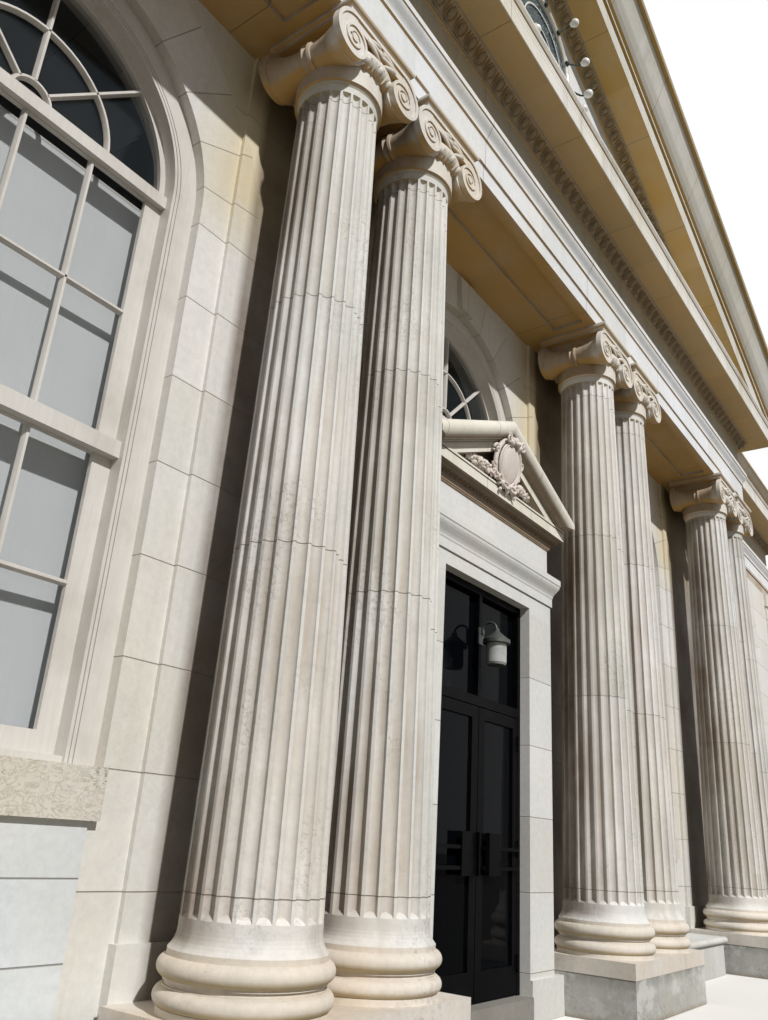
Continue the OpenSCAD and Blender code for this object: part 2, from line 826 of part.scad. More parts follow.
function rake_pts() = concat([for (q = bed_pts) [q[0], q[1] - corona_z]],
    [[corona_out, 0], [corona_out, corona_h], [cap_out, corona_h + 10], [cap_out, corona_h + 60]],
    recta(cap_out, corona_h + 60, crown_out, corona_h + 60 + crown_h, 8),
    [[crown_out, corona_h + 60 + crown_h + crown_lip]]);

module raking_cornice() {
    pts = rake_pts();
    n = len(pts) - 1;
    back = gable_t - front_out;
    color(stone) both() intersection() {
        on_rake() along_x(-1000, 10000)
            polygon(concat([for (q = pts) [-(front_out + q[0]), q[1]]],
                [[back, pts[n][1]], [back, pts[0][1]]]));
        along_y(-front_out - 1000, 0)
            polygon(concat([[0, cornice_top]], [for (q = side_crown_pts) [portico_half + q[0], q[1]]],
                [[portico_half + crown_out, far], [0, far]]));
    }
}

module tympanum() {
    k = bed_h / cos(rake_a) + mortar;
    x1 = corona_end - (cornice_top - corona_z + k) / rake;
    color(stone) along_y(-front_out, gable_t - front_out)
        polygon([[-x1, cornice_top], [x1, cornice_top], [0, apex_z - k]]);
}

module eaves_crowns() {
    top = side_crown_pts[len(side_crown_pts) - 1][1];
    color(stone) both() along_y(gable_t - front_out, depth - wall_t)
        polygon(concat([[portico_half, cornice_top]], [for (q = side_crown_pts) [portico_half + q[0], q[1]]],
            [[portico_half, top]]));
}

module clear_of_portico() {
    x1 = portico_half + crown_out + 20;
    difference() {
        children();
        box(-portico_half, portico_half, -far, 0, 0, far);
        front_block(concat(arch_pts, frieze_pts, level_pts), portico_half, front_out, 0);
        box(-x1, x1, -far, wall_t + 10, cornice_top, far);
    }
}

module wing_architrave() {
    color(stone) clear_of_portico() wall_ring(arch_pts);
}

module wing_frieze() {
    color(stone) clear_of_portico() wall_ring(frieze_pts);
}

module wing_cornice() {
    color(stone) clear_of_portico() difference() {
        wall_ring(wing_pts);
        box(-portico_half - 5, portico_half + 5, -far, depth - wall_t, cornice_top, far);
        box(-roof_x, roof_x, 0, depth, cornice_top, far);
    }
}

// Height of a plane parallel to the roof, a given distance over the foot of the rake
function roof_z(x, n) = apex_z + n / cos(rake_a) - rake * abs(x);

module main_roof() {
    lo = roof_z(roof_x, roof_lo);
    hi = roof_z(roof_x, roof_hi);
    color([0.35, 0.34, 0.33]) along_y(gable_t - front_out, depth + 0.25 * wing_crown_out)
        polygon([[-roof_x, lo], [0, roof_z(0, roof_lo)], [roof_x, lo], [roof_x, hi], [0, roof_z(0, roof_hi)],
            [-roof_x, hi]]);
}

module flat_roof() {
    color([0.4, 0.4, 0.4])
        box(-wing_half + wall_t, wing_half - wall_t, wall_t, depth - wall_t, cornice_top - 150, cornice_top);
}

module roof_kerbs() {
    x0 = portico_half - wall_t / 1.5;
    x1 = portico_half;
    color(stone) both() along_y(gable_t - front_out, depth - wall_t)
        polygon([[x0, cornice_top], [x1, cornice_top], [x1, roof_z(x1, roof_lo)], [x0, roof_z(x0, roof_lo)]]);
}

module back_gable() {
    eaves = roof_z(roof_x, roof_lo);
    color(stone) along_y(depth - wall_t, depth)
        polygon([[-roof_x, cornice_top], [roof_x, cornice_top], [roof_x, eaves], [0, roof_z(0, roof_lo)],
            [-roof_x, eaves]]);
}

// Stone benches: a slab with a rounded front edge on a plain block
module bench_blocks() {
    half = bay / 2 - plinth_half - bench_gap;
    back = -foot_out - 10;
    lip = 0.6 * bench_h;
    color(stone) for (x = [-bay, bay]) {
        box(x - half + lip, x + half - lip, -bench_out + lip, back, 0, bench_top - bench_h);
        along_x(x - half, x + half) {
            translate([-bench_out + bench_h / 2, bench_top - bench_h / 2]) circle(bench_h / 2);
            translate([-bench_out + bench_h / 2, bench_top - bench_h])
                square([back + bench_out - bench_h / 2, bench_h]);
        }
    }
}

// Hanging lantern over the door, on a curved arm from a wall plate
module lantern() {
    arm = 65;
    boss = 20;
    y = hinge_y - boss - 2 * arm;
    r = lantern_r;
    top = lantern_z + 3.6 * r;
    color([0.25, 0.28, 0.27]) {
        translate([0, y, lantern_z]) rotate_extrude() polygon(r * [[0, 0], [0.85, 0], [1, 0.25], [1, 2.16],
            [1.36, 2.16], [1.36, 2.53], [1.2, 2.62], [0.6, 3.1], [0.28, 3.4], [0.28, 3.65], [0, 3.65]]);
        translate([0, y + arm, top]) rotate([90, 0, 90])
            rotate_extrude(angle = 180) translate([arm, 0]) circle(9);
        box(-12, 12, hinge_y - boss - 12, hinge_y - 8, top - 30, top + 3);
        box(-40, 40, hinge_y - 12, hinge_y, top - 1.4 * r, top + 25);
    }
}

at_origin() plinth_blocks();
at_origin() plinth_slabs();
at_origin() column_bases();
at_origin() column_shafts();
at_origin() column_capitals();
at_origin() wall_pilasters();
at_origin() corner_antae();
at_origin() front_wall_left();
at_origin() front_wall_right();
at_origin() front_wall_arch();
at_origin() side_wall_left();
at_origin() side_wall_right();
at_origin() back_wall();
at_origin() floor_slab();
at_origin() window_sills();
at_origin() window_aprons();
at_origin() front_window_frames();
at_origin() side_window_frames();
at_origin() back_window_frames();
at_origin() window_glass();
at_origin() keystones();
at_origin() portal_jambs();
at_origin() portal_head();
at_origin() portal_pediment();
at_origin() door_step();
at_origin() door_frame();
at_origin() transom_glass();
at_origin() left_leaf();
at_origin() left_leaf_glass();
at_origin() right_leaf();
at_origin() right_leaf_glass();
at_origin() portico_architrave();
at_origin() portico_frieze();
at_origin() portico_cornice();
at_origin() tympanum();
at_origin() raking_cornice();
at_origin() eaves_crowns();
at_origin() wing_architrave();
at_origin() wing_frieze();
at_origin() wing_cornice();
at_origin() main_roof();
at_origin() flat_roof();
at_origin() roof_kerbs();
at_origin() back_gable();
at_origin() bench_blocks();
at_origin() lantern();
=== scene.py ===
# %% [markdown]
# # A town hall with a columned portico
# The building is a marble-faced hall: four pairs of fluted columns carry a deep entablature and a
# pediment, and tall arched windows stand in the wall behind them. Its solid forms come ready-made,
# in metres, with the middle of the building at the origin. This file gives every form its finish,
# and adds the carving, window bars, blinds and lamps that are too fine for the solid model.

import json
import math

import bmesh
import bpy
import numpy as np
from mathutils import Matrix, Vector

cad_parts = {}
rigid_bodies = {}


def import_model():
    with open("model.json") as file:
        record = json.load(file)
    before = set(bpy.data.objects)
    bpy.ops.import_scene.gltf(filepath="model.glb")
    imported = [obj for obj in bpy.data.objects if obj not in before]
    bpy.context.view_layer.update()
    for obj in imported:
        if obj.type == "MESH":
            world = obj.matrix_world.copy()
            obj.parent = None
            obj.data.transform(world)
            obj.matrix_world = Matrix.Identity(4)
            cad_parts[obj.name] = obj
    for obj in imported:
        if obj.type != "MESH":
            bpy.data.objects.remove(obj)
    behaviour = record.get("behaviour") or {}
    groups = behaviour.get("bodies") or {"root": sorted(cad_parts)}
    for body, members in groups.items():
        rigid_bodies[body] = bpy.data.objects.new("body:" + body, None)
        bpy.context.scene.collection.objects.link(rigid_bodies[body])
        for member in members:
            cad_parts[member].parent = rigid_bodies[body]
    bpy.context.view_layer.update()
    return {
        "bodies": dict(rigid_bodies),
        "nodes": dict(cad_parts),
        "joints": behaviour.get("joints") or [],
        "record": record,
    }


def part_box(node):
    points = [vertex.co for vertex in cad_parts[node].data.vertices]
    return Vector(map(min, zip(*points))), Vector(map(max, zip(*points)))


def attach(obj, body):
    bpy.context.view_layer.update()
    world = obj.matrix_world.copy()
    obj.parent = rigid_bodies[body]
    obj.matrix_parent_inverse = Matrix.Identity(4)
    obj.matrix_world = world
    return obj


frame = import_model()

# %% [markdown]
# ## Main sizes
# Everything added here sits on the solid forms, so heights and faces are read from their boxes. What a
# box can't tell, such as the distance between two pairs of columns, is written here once.

# %% Sizes read from the solid forms
WALL_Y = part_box("front_wall_left")[0].y
PLINTH_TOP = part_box("plinth_slabs")[1].z
SHAFT_FOOT, SHAFT_TOP = (corner.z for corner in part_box("column_shafts"))
ARCH_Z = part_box("portico_architrave")[0].z
BED_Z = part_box("portico_frieze")[1].z
SPRING_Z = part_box("front_wall_arch")[0].z
SILL_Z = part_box("window_sills")[1].z
DOOR_TOP_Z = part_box("portal_head")[1].z

# %% [markdown]
# The pairs of columns stand a BAY apart, and each column PAIR_HALF from the middle of its pair. Their
# axes lie COLUMN_OUT in front of the wall. WING is half the length between the end walls' faces, DEPTH
# is the whole depth, and PORCH_X is half the length of the wall that the portico shelters.

# %% Sizes of the plan
BAY = 4.353
PAIR_HALF = 0.47
COLUMN_OUT = 0.54
FOOT_R, NECK_R = 0.345, 0.275
WING, DEPTH = 12.8, 15.0
WING_WINDOW_X = 9.76
PORTICO_X = 1.5 * BAY + PAIR_HALF + NECK_R
PORTICO_OUT = COLUMN_OUT + NECK_R
PORCH_X = 7.75
RAKE = math.atan(0.345)
RAKE_FOOT_X = PORTICO_X + 0.445
RAKE_FOOT_Z = BED_Z + 0.15
MEDALLION_Z = 9.08
print("wall face", round(WALL_Y, 3), "plinth", round(PLINTH_TOP, 3), "shaft top", round(SHAFT_TOP, 3),
      "springing", round(SPRING_Z, 3))

# %% [markdown]
# ## Camera
# The photograph is taken from close by and looks up and along the front. The three rows below are the
# camera's own axes in the building's frame: to the right, down, and forwards. Blender's camera looks
# along its minus Z with Y up, so two of them change sign.

# %% Camera
EYE = np.array([-5.914, WALL_Y - 3.62, 1.219])
AXES = np.array([[0.5800, -0.8123, 0.0607], [0.3311, 0.1671, -0.9287], [0.7443, 0.5588, 0.3659]])
FOCAL_PX = 838.6
PHOTO_HEIGHT = 1020


def aim(thing, right, up, back, at=(0.0, 0.0, 0.0)):
    """Places a camera or a lamp by its own axes: to the right, up, and back along its line of sight."""
    turn = np.eye(4)
    turn[:3] = np.stack([right, up, back, at], -1)
    thing.matrix_world = Matrix(turn.tolist())
    bpy.context.scene.collection.objects.link(thing)


def place_camera(eye, axes, focal_px):
    """Camera whose image has focal_px pixels between its centre and a ray at 45 degrees."""
    data = bpy.data.cameras.new("camera")
    data.sensor_fit = "VERTICAL"
    data.sensor_height = 36.0
    data.lens = data.sensor_height * focal_px / PHOTO_HEIGHT
    data.clip_end = 300.0
    camera = bpy.data.objects.new("camera", data)
    u, _, vt = np.linalg.svd(axes)
    right, down, forward = u @ vt
    aim(camera, right, -down, -forward, eye)
    bpy.context.scene.camera = camera
    return camera


camera = place_camera(EYE, AXES, FOCAL_PX)
print("lens", round(camera.data.lens, 2), "mm")

# %% [markdown]
# ## Writing materials
# Each finish below is a small network of nodes. Two classes keep it readable. A Net places nodes and
# joins their sockets. A Value is the output of one node, and a formula written with it places the nodes
# that work the formula out.


# %% Helpers for shader nodes
class Value:
    """The output of a node. Sums, products and comparisons with it place the Math nodes they need."""

    def __init__(self, net, socket):
        self.net = net
        self.socket = socket

    def __add__(self, other):
        return self.net.math("ADD", self, other)

    def __sub__(self, other):
        return self.net.math("SUBTRACT", self, other)

    def __rsub__(self, other):
        return self.net.math("SUBTRACT", other, self)

    def __mul__(self, other):
        return self.net.math("MULTIPLY", self, other)

    def __truediv__(self, other):
        return self.net.math("DIVIDE", self, other)

    def __gt__(self, other):
        return self.net.math("GREATER_THAN", self, other)

    def __lt__(self, other):
        return self.net.math("LESS_THAN", self, other)

    def __abs__(self):
        return self.net.math("ABSOLUTE", self)

    def floor(self):
        return self.net.math("FLOOR", self)

    def fold(self, half):
        """Distance to the nearest even multiple of half."""
        return self.net.math("PINGPONG", self, half)

    def span(self, low, high, start=0.0, end=1.0):
        """Moved from low..high to start..end, and held at the ends."""
        return self.net.put("ShaderNodeMapRange", {0: self, 1: low, 2: high, 3: start, 4: end})

    def fall(self, low, high):
        """1 up to low, then down to 0 at high."""
        return self.span(low, high, 1.0, 0.0)


class Net:
    """Places nodes in one tree. An input may be a number, a colour, a vector or a Value."""

    def __init__(self, tree):
        self.tree = tree

    def add(self, kind, inputs=None, **props):
        node = self.tree.nodes.new(kind)
        for key, value in props.items():
            setattr(node, key, value)
        for key, value in (inputs or {}).items():
            if isinstance(value, Value):
                self.tree.links.new(value.socket, node.inputs[key])
            else:
                node.inputs[key].default_value = value
        return node

    def outputs(self, node):
        return {socket.name: Value(self, socket) for socket in node.outputs}

    def put(self, kind, inputs=None, out=0, **props):
        return Value(self, self.add(kind, inputs, **props).outputs[out])

    def math(self, kind, a, b=0.0):
        return self.put("ShaderNodeMath", {0: a, 1: b}, operation=kind)

    def pick(self, choice, a, b):
        """a where choice is 0, and b where it is 1."""
        return self.put("ShaderNodeMix", {0: choice, 2: a, 3: b})

    def mix(self, share, a, b, blend="MIX"):
        return self.put("ShaderNodeMix", {0: share, 6: a, 7: b}, out=2, data_type="RGBA", blend_type=blend)

    def stain(self, color, share, hue):
        """The colour with a share of another over it, which is written RRGGBB."""
        return self.mix(share, color, rgb(hue))

    def shade(self, color, value):
        """The colour made darker or lighter by a factor."""
        return self.mix(1.0, color, self.join(value, value, value), "MULTIPLY")

    def noise(self, place, scale, detail=3.0, rough=0.5, swirl=0.0):
        return self.put("ShaderNodeTexNoise", {"Vector": place, "Scale": scale, "Detail": detail,
                                               "Roughness": rough, "Distortion": swirl})

    def random(self, number):
        """A number from 0 to 1 that is the same wherever the given number is the same."""
        return self.put("ShaderNodeTexWhiteNoise", {"W": number}, noise_dimensions="1D")

    def stretch(self, place, by, shift=(0.0, 0.0, 0.0)):
        return self.put("ShaderNodeMapping", {"Vector": place, "Scale": by, "Location": shift})

    def parts(self, place):
        return list(self.outputs(self.add("ShaderNodeSeparateXYZ", {0: place})).values())

    def join(self, x, y, z):
        return self.put("ShaderNodeCombineXYZ", {0: x, 1: y, 2: z})

    def length(self, a, b):
        """Root of a * a + b * b."""
        return self.math("SQRT", a * a + b * b)


def rgb(text):
    """A colour written as it looks on screen, RRGGBB, as the linear numbers that Blender mixes."""
    parts = [int(text[i:i + 2], 16) / 255 for i in (0, 2, 4)]
    return tuple([c / 12.92 if c <= 0.04045 else ((c + 0.055) / 1.055) ** 2.4 for c in parts] + [1.0])


def open_group(name, inputs, outputs):
    """A new shader group with its named sockets; returns its net and what is given to it."""
    tree = bpy.data.node_groups.new(name, "ShaderNodeTree")
    for label, kind, value in inputs:
        socket = tree.interface.new_socket(name=label, in_out="INPUT", socket_type="NodeSocket" + kind)
        if value is not None:
            socket.default_value = value
    for label, kind in outputs:
        tree.interface.new_socket(name=label, in_out="OUTPUT", socket_type="NodeSocket" + kind)
    net = Net(tree)
    return net, net.outputs(net.add("NodeGroupInput"))


# %% [markdown]
# ## Weathered stone
# Old marble isn't one colour. It has clouds of grey and green, warm ochre and pink patches, thin
# veins, vertical stains where rain runs down, and pits where its skin has gone. Each of these is a
# noise of its own size, and the group mixes them over a light ground colour.


# %% Stone group
def make_weathering():
    net, given = open_group("weathered_stone", [
        ("Vector", "Vector", None), ("Light", "Color", (0.6, 0.57, 0.52, 1)),
        ("Grey", "Color", (0.4, 0.4, 0.36, 1)), ("Warm", "Color", (0.55, 0.45, 0.33, 1)),
        ("Stain", "Color", (0.2, 0.17, 0.13, 1)), ("Clouds", "Float", 0.5), ("Warmth", "Float", 0.5),
        ("Veins", "Float", 0.3), ("Streaks", "Float", 0.3), ("Pits", "Float", 0.3)],
        [("Color", "Color"), ("Roughness", "Float"), ("Height", "Float")])
    place = given["Vector"]
    clouds = net.noise(place, 0.9, 6.0, 0.62, 0.6).span(0.36, 0.66)
    color = net.mix(clouds * given["Clouds"], given["Light"], given["Grey"])
    warm = net.noise(net.stretch(place, (1.0, 1.0, 0.55), (7, 3, 5)), 0.75, 5.0, 0.6, 0.4).span(0.46, 0.68)
    color = net.mix(warm * given["Warmth"], color, given["Warm"])
    swirl = net.noise(net.stretch(place, (1.0, 1.0, 1.0), (2, 9, 4)), 1.4, 8.0, 0.6, 1.6)
    where = net.noise(place, 0.8, 2.0).span(0.45, 0.62)
    veins = abs(swirl - 0.5).fall(0.0, 0.022) * where * given["Veins"]
    color = net.mix(veins, color, given["Grey"])
    run = net.noise(net.stretch(place, (5.0, 5.0, 0.32)), 1.0, 5.0, 0.62, 0.2)
    color = net.mix(run.span(0.52, 0.74) * given["Streaks"], color, given["Stain"])
    patch = net.noise(net.stretch(place, (1.0, 1.0, 0.6), (1, 8, 2)), 1.9, 4.0, 0.65).span(0.5, 0.62)
    pits = net.noise(place, 42.0, 3.0, 0.7).span(0.53, 0.62) * patch * given["Pits"]
    color = net.mix(pits * 0.55, color, given["Stain"])
    color = net.shade(color, net.noise(place, 24.0, 4.0, 0.7).span(0.3, 0.7, 0.93, 1.05))
    grain = net.noise(place, 160.0, 2.0, 0.6)
    height = pits * -1.0 + grain * 0.12 + net.noise(place, 9.0, 3.0) * 0.25
    rough = grain.span(0.2, 0.8, 0.62, 0.82)
    net.add("NodeGroupOutput", {"Color": color, "Roughness": rough, "Height": height})
    return net.tree


WEATHERING = make_weathering()
print("stone group with", len(WEATHERING.nodes), "nodes")


# %% [markdown]
# ## Joints between the stones
# The walls are built of blocks, laid in level courses 0.55 m high, and the arches of wedge-shaped
# stones that point at the arch's centre. Upright joints run only up the middle of each pier, between two
# windows. A material can draw all three from its place on the wall. The distance to the nearest joint
# gives a thin dark line and a groove, and the number of the block gives each stone a tone of its own.


# %% Course and arch joints group
ARCH_OUT_R = 1.58
WEDGE = math.pi / 11


def make_courses():
    net, given = open_group("stone_courses", [
        ("Along", "Float", 0.0), ("Up", "Float", 0.0), ("Arch", "Float", 0.0), ("Start", "Float", 0.356),
        ("Course", "Float", 0.5535), ("Pier", "Float", BAY / 2), ("Joint", "Float", 0.0035)],
        [("Joint", "Float"), ("Tone", "Float")])
    rows = (given["Up"] - given["Start"]) / given["Course"]
    rise = rows.fold(0.5) * given["Course"]
    from_pier = given["Along"] + given["Pier"]
    across = from_pier.fold(given["Pier"]) + (given["Along"] > PORCH_X)
    block = rows.floor() * 7.31 + (from_pier / BAY).floor()
    arch_up = given["Up"] - SPRING_Z
    reach = net.length(given["Arch"], arch_up)
    wedges = net.math("ARCTAN2", arch_up, given["Arch"]) / WEDGE
    turn = (wedges + 0.5).fold(0.5) * reach * WEDGE
    in_arch = (arch_up > 0.0) * (reach < ARCH_OUT_R)
    gap = net.pick(in_arch, net.math("MINIMUM", rise, across), turn)
    number = net.pick(in_arch, block, (wedges + 50.5).floor())
    joint = gap.fall(given["Joint"] * 0.5, given["Joint"] * 1.3)
    net.add("NodeGroupOutput", {"Joint": joint, "Tone": net.random(number)})
    return net.tree


COURSES = make_courses()
print("course group with", len(COURSES.nodes), "nodes")


# %% [markdown]
# ## Stone finishes
# The walls, columns, entablature, sills and floor are all stone, but of different colour and wear.
# One function writes them all: it places the weathering group, adds the joints where a piece has any,
# and sends the result to a Principled shader.


# %% Stone materials
FINISHES = {}


def begin_material(name):
    """A new finish, kept under its name; returns its net and the place on the piece."""
    material = bpy.data.materials.new(name)
    material.use_nodes = True
    material.node_tree.nodes.clear()
    FINISHES[name] = material
    net = Net(material.node_tree)
    return net, net.put("ShaderNodeTexCoord", out=3)


def finish_material(net, color, roughness, height=None, depth=0.002, **constants):
    """Sends colour, roughness and relief to a Principled shader; the constants are its other sockets."""
    inputs = {"Base Color": color, "Roughness": roughness}
    inputs.update({label.replace("_", " "): value for label, value in constants.items()})
    if height is not None:
        inputs["Normal"] = net.put("ShaderNodeBump", {"Height": height, "Distance": depth, "Strength": 1.0})
    net.add("ShaderNodeOutputMaterial", {0: net.put("ShaderNodeBsdfPrincipled", inputs)})


def stone(name, light, grey, warm, stain, wear, joints=None, joint_color="6E6353", tint=None, depth=0.002):
    """A stone finish. wear is how strong its clouds, warmth, veins, streaks and pits are. joints takes the
    net and the place and returns a joint mask and a tone; tint takes the net, the place and the colour,
    and returns the colour with its own stains and painted shade."""
    net, place = begin_material(name)
    inputs = {"Vector": place, "Light": rgb(light), "Grey": rgb(grey), "Warm": rgb(warm), "Stain": rgb(stain)}
    inputs.update(zip(("Clouds", "Warmth", "Veins", "Streaks", "Pits"), wear))
    skin = net.outputs(net.add("ShaderNodeGroup", inputs, node_tree=WEATHERING))
    color, height = skin["Color"], skin["Height"]
    if tint:
        color = tint(net, place, color)
    if joints:
        joint, tone = joints(net, place)
        value = tone.span(0.0, 1.0, 0.93, 1.04)
        color = net.mix(1.0, color, net.join(value, value, tone.span(0.0, 1.0, 0.9, 1.05)), "MULTIPLY")
        color = net.stain(color, joint * 0.75, joint_color)
        height = height - joint * 1.5
    finish_material(net, color, skin["Roughness"], height, depth)


# %% Where the joints run
def thin_line(gap):
    return gap.fall(0.0015, 0.004)


def wall_joints(net, place):
    """Courses on a wall: along X in front and behind, along Y at the sides, with arches round windows."""
    x, y, z = net.parts(place)
    ax, ay = abs(x), abs(y - (WALL_Y + DEPTH / 2))
    side = ax > WING - 0.5
    window_x = (ax > BAY / 2) * BAY + (ax > (BAY + WING_WINDOW_X) / 2) * (WING_WINDOW_X - BAY)
    window_y = (ay > BAY / 2) * BAY
    arch = net.pick(side, ax - window_x, ay - window_y)
    found = net.outputs(net.add("ShaderNodeGroup", {"Along": net.pick(side, ax, ay), "Up": z, "Arch": arch},
                                node_tree=COURSES))
    return found["Joint"], found["Tone"]


def drum_joints(net, place):
    """Drums of one length, at heights that differ from column to column, on a low first drum."""
    drum_h = 1.56
    x, _, z = net.parts(place)
    number = net.math("ROUND", x / PAIR_HALF)
    shift = net.random(number * 1.37)
    drums = (z - (shift * 0.3 + 0.82)) / drum_h
    gap = net.pick(z < drum_h, drums.fold(0.5) * drum_h, abs(z - (SHAFT_FOOT + 0.235)))
    return thin_line(gap), net.random(drums.floor() + number)


def beam_joints(length, shift=0.0):
    """Upright joints only, at equal distances along X."""
    def joints(net, place):
        run = (net.parts(place)[0] + shift) / length
        return thin_line(run.fold(0.5) * length), net.random((run + 0.5).floor())
    return joints


def jamb_joints(net, place):
    """Level joints 0.568 m apart on the door's jambs, and none over the door."""
    course = 0.568
    rows = (net.parts(place)[2] - 0.333) / course
    return thin_line(rows.fold(0.5) * course + (rows > 4.6)), net.random(rows.floor())


def apron_joints(net, place):
    """Two level joints between the slabs under a window."""
    z = net.parts(place)[2]
    upper, lower = 0.967, 0.616
    gap = net.math("MINIMUM", abs(z - upper), abs(z - lower))
    return gap.fall(0.002, 0.005), net.random((z > upper) + (z > lower) + 4.2)


# %% [markdown]
# ## Stains and painted shade that follow the building
# Rain washes the stone that stands out and never reaches the undersides, so the soffits gather old dust.
# Shade is painted into the colours as well: what faces down is browner, the mouldings under the cornices
# are darker, and the wall behind the columns and what lies behind the capitals are dark brown where the
# building's shade falls. These are masks from the height on the building, the slope of the gable, and
# which way the surface faces.


# %% Stains and painted shade
def under_side(net, place, color, hue, share=0.95, start=-0.6, full=-0.85):
    """Old dust and painted shade on what faces down: none where the normal's height is start, all where it is
    full.
    """
    normal = net.parts(net.put("ShaderNodeNewGeometry", out=1))
    cloud = net.noise(place, 1.7, 5.0, 0.6).span(0.3, 0.7, 0.7, 1.0)
    return net.stain(color, normal[2].span(start, full) * cloud * share, hue)


def between(value, low, high, soft=0.004):
    return value.span(low - soft, low + soft) * value.fall(high - soft, high + soft)


def banded(height, rows, under):
    """A tint from rows of (low, high, colour, share) along a height, and one colour for the undersides."""
    def tint(net, place, color):
        value = height(net, place)
        for low, high, hue, share in rows:
            color = net.stain(color, between(value, low, high) * share, hue)
        return under_side(net, place, color, under)
    return tint


def over_frieze(net, place):
    return net.parts(place)[2] - BED_Z


def over_rake(net, place):
    """Distance square to the slope: (z - foot) * cosine - (foot x - |x|) * sine."""
    x, _, z = net.parts(place)
    return (z - RAKE_FOOT_Z) * math.cos(RAKE) - (RAKE_FOOT_X - abs(x)) * math.sin(RAKE)


def painted_shade_behind_columns(net, place, color):
    """Dark brown painted shade on the wall behind each pair of columns, and ochre above and beside it."""
    x, y, z = net.parts(place)
    ax = abs(x)
    from_pair = (ax + BAY / 2).fold(BAY / 2)
    porch_wall = (ax < PORCH_X) * (y < WALL_Y + 0.02)
    cloud = net.noise(place, 1.3, 5.0, 0.6).span(0.3, 0.7, 0.6, 1.0)
    # Painted shade: dark brown where the pair's shade falls on the wall, fuller higher up.
    painted_shade = from_pair.fall(0.64, 0.72) * porch_wall * cloud * 0.85 * z.span(0.6, 4.2, 0.85, 1.0)
    ochre = z.span(4.7, 5.3) * from_pair.fall(0.75, 1.25) * porch_wall
    color = net.stain(color, ochre * 0.6, "D8C48E")
    color = net.stain(color, painted_shade, "57422C")
    return under_side(net, place, color, "7B6744", 0.5)


def shade_and_dust_behind_fronts(net, place, color):
    """Golden brown painted shade on what lies behind the front of a capital or a beam, where shade falls."""
    _, y, z = net.parts(place)
    behind = y.span(WALL_Y - 0.79, WALL_Y - 0.72) * y.fall(WALL_Y, WALL_Y + 0.1)
    cloud = net.noise(place, 2.3, 5.0, 0.6).span(0.3, 0.7, 0.55, 1.0)
    color = net.stain(color, behind * z.fall(ARCH_Z + 0.2, ARCH_Z + 0.22) * cloud * 0.8, "8A6A34")
    return under_side(net, place, color, "C0964A")


def door_cornice_shade_and_stains(net, place, color):
    """Brown painted shade on the carving under the little cornice, a rusty fillet at its foot, and a dark
    field in the gable that is part dirt and part painted shade.
    """
    _, y, z = net.parts(place)
    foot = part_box("portal_pediment")[0].z
    color = net.stain(color, between(z, foot + 0.022, foot + 0.105) * 0.8, "5E482F")
    color = net.stain(color, between(z, foot - 0.01, foot + 0.022) * 0.6, "B58A5A")
    field = between(y, WALL_Y - 0.366, WALL_Y - 0.354, 0.002) * z.span(foot + 0.21, foot + 0.22)
    color = net.stain(color, field * 0.85, "54422F")
    return under_side(net, place, color, "6E5230", 0.9)


def shaft_shade_and_dust(net, place, color):
    """Painted shade in the flutes' hollows, and dark brown painted shade on each shaft's side towards the
    wall. A hollow is where the distance from the column's axis falls short of the shaft's radius there."""
    x, y, z = net.parts(place)
    ax = abs(x)
    pair_x = (ax > BAY) * BAY + BAY / 2
    across = abs(ax - pair_x) - PAIR_HALF
    deep = y - (WALL_Y - COLUMN_OUT)
    radius = z.span(SHAFT_FOOT, SHAFT_TOP, FOOT_R, NECK_R)
    on_shaft = z.span(SHAFT_FOOT, SHAFT_FOOT + 0.05) * (z < SHAFT_TOP - 0.08)
    hollow = (radius - net.length(across, deep)).span(0.012, 0.03) * on_shaft
    cloud = net.noise(net.stretch(place, (1.0, 1.0, 0.35)), 2.2, 5.0, 0.6).span(0.35, 0.65, 0.0, 0.8)
    color = net.stain(color, hollow * cloud, "A39482")
    color = net.stain(color, deep.span(-0.2, 0.06) * on_shaft * (cloud * 0.8 + 0.25), "634C35")
    return under_side(net, place, color, "A8935E", 0.75, -0.15, -0.6)


def crinkled(net, place, color):
    """The sills' marble has weathered along a net of fine wandering veins, which are darker."""
    wander = net.noise(net.stretch(place, (1.0, 1.0, 1.6)), 11.0, 7.0, 0.62, 2.2)
    vein = abs(wander - 0.5).span(0.0, 0.045, 0.8, 0.0)
    where = net.noise(place, 3.0, 3.0).span(0.35, 0.55, 0.25, 0.8)
    return net.stain(color, vein * where, "9A8F7C")


def plinth_stains(net, place, color):
    """Black and green runs from under the slab, pale bare patches, and a brown line along the ground."""
    z = net.parts(place)[2]
    ragged = net.noise(net.stretch(place, (1.0, 1.0, 0.5)), 6.0, 6.0, 0.7)
    drop = (z + ragged * 0.25).span(PLINTH_TOP - 0.08, PLINTH_TOP + 0.06)
    color = net.stain(color, drop * 0.7, "55584E")
    pale = net.noise(net.stretch(place, (1.0, 1.0, 1.4), (4, 1, 6)), 2.6, 5.0, 0.7).span(0.52, 0.6)
    color = net.stain(color, pale * 0.6, "CFCFCB")
    return net.stain(color, (z + ragged * 0.04).fall(0.02, 0.06) * 0.6, "8C7C5C")


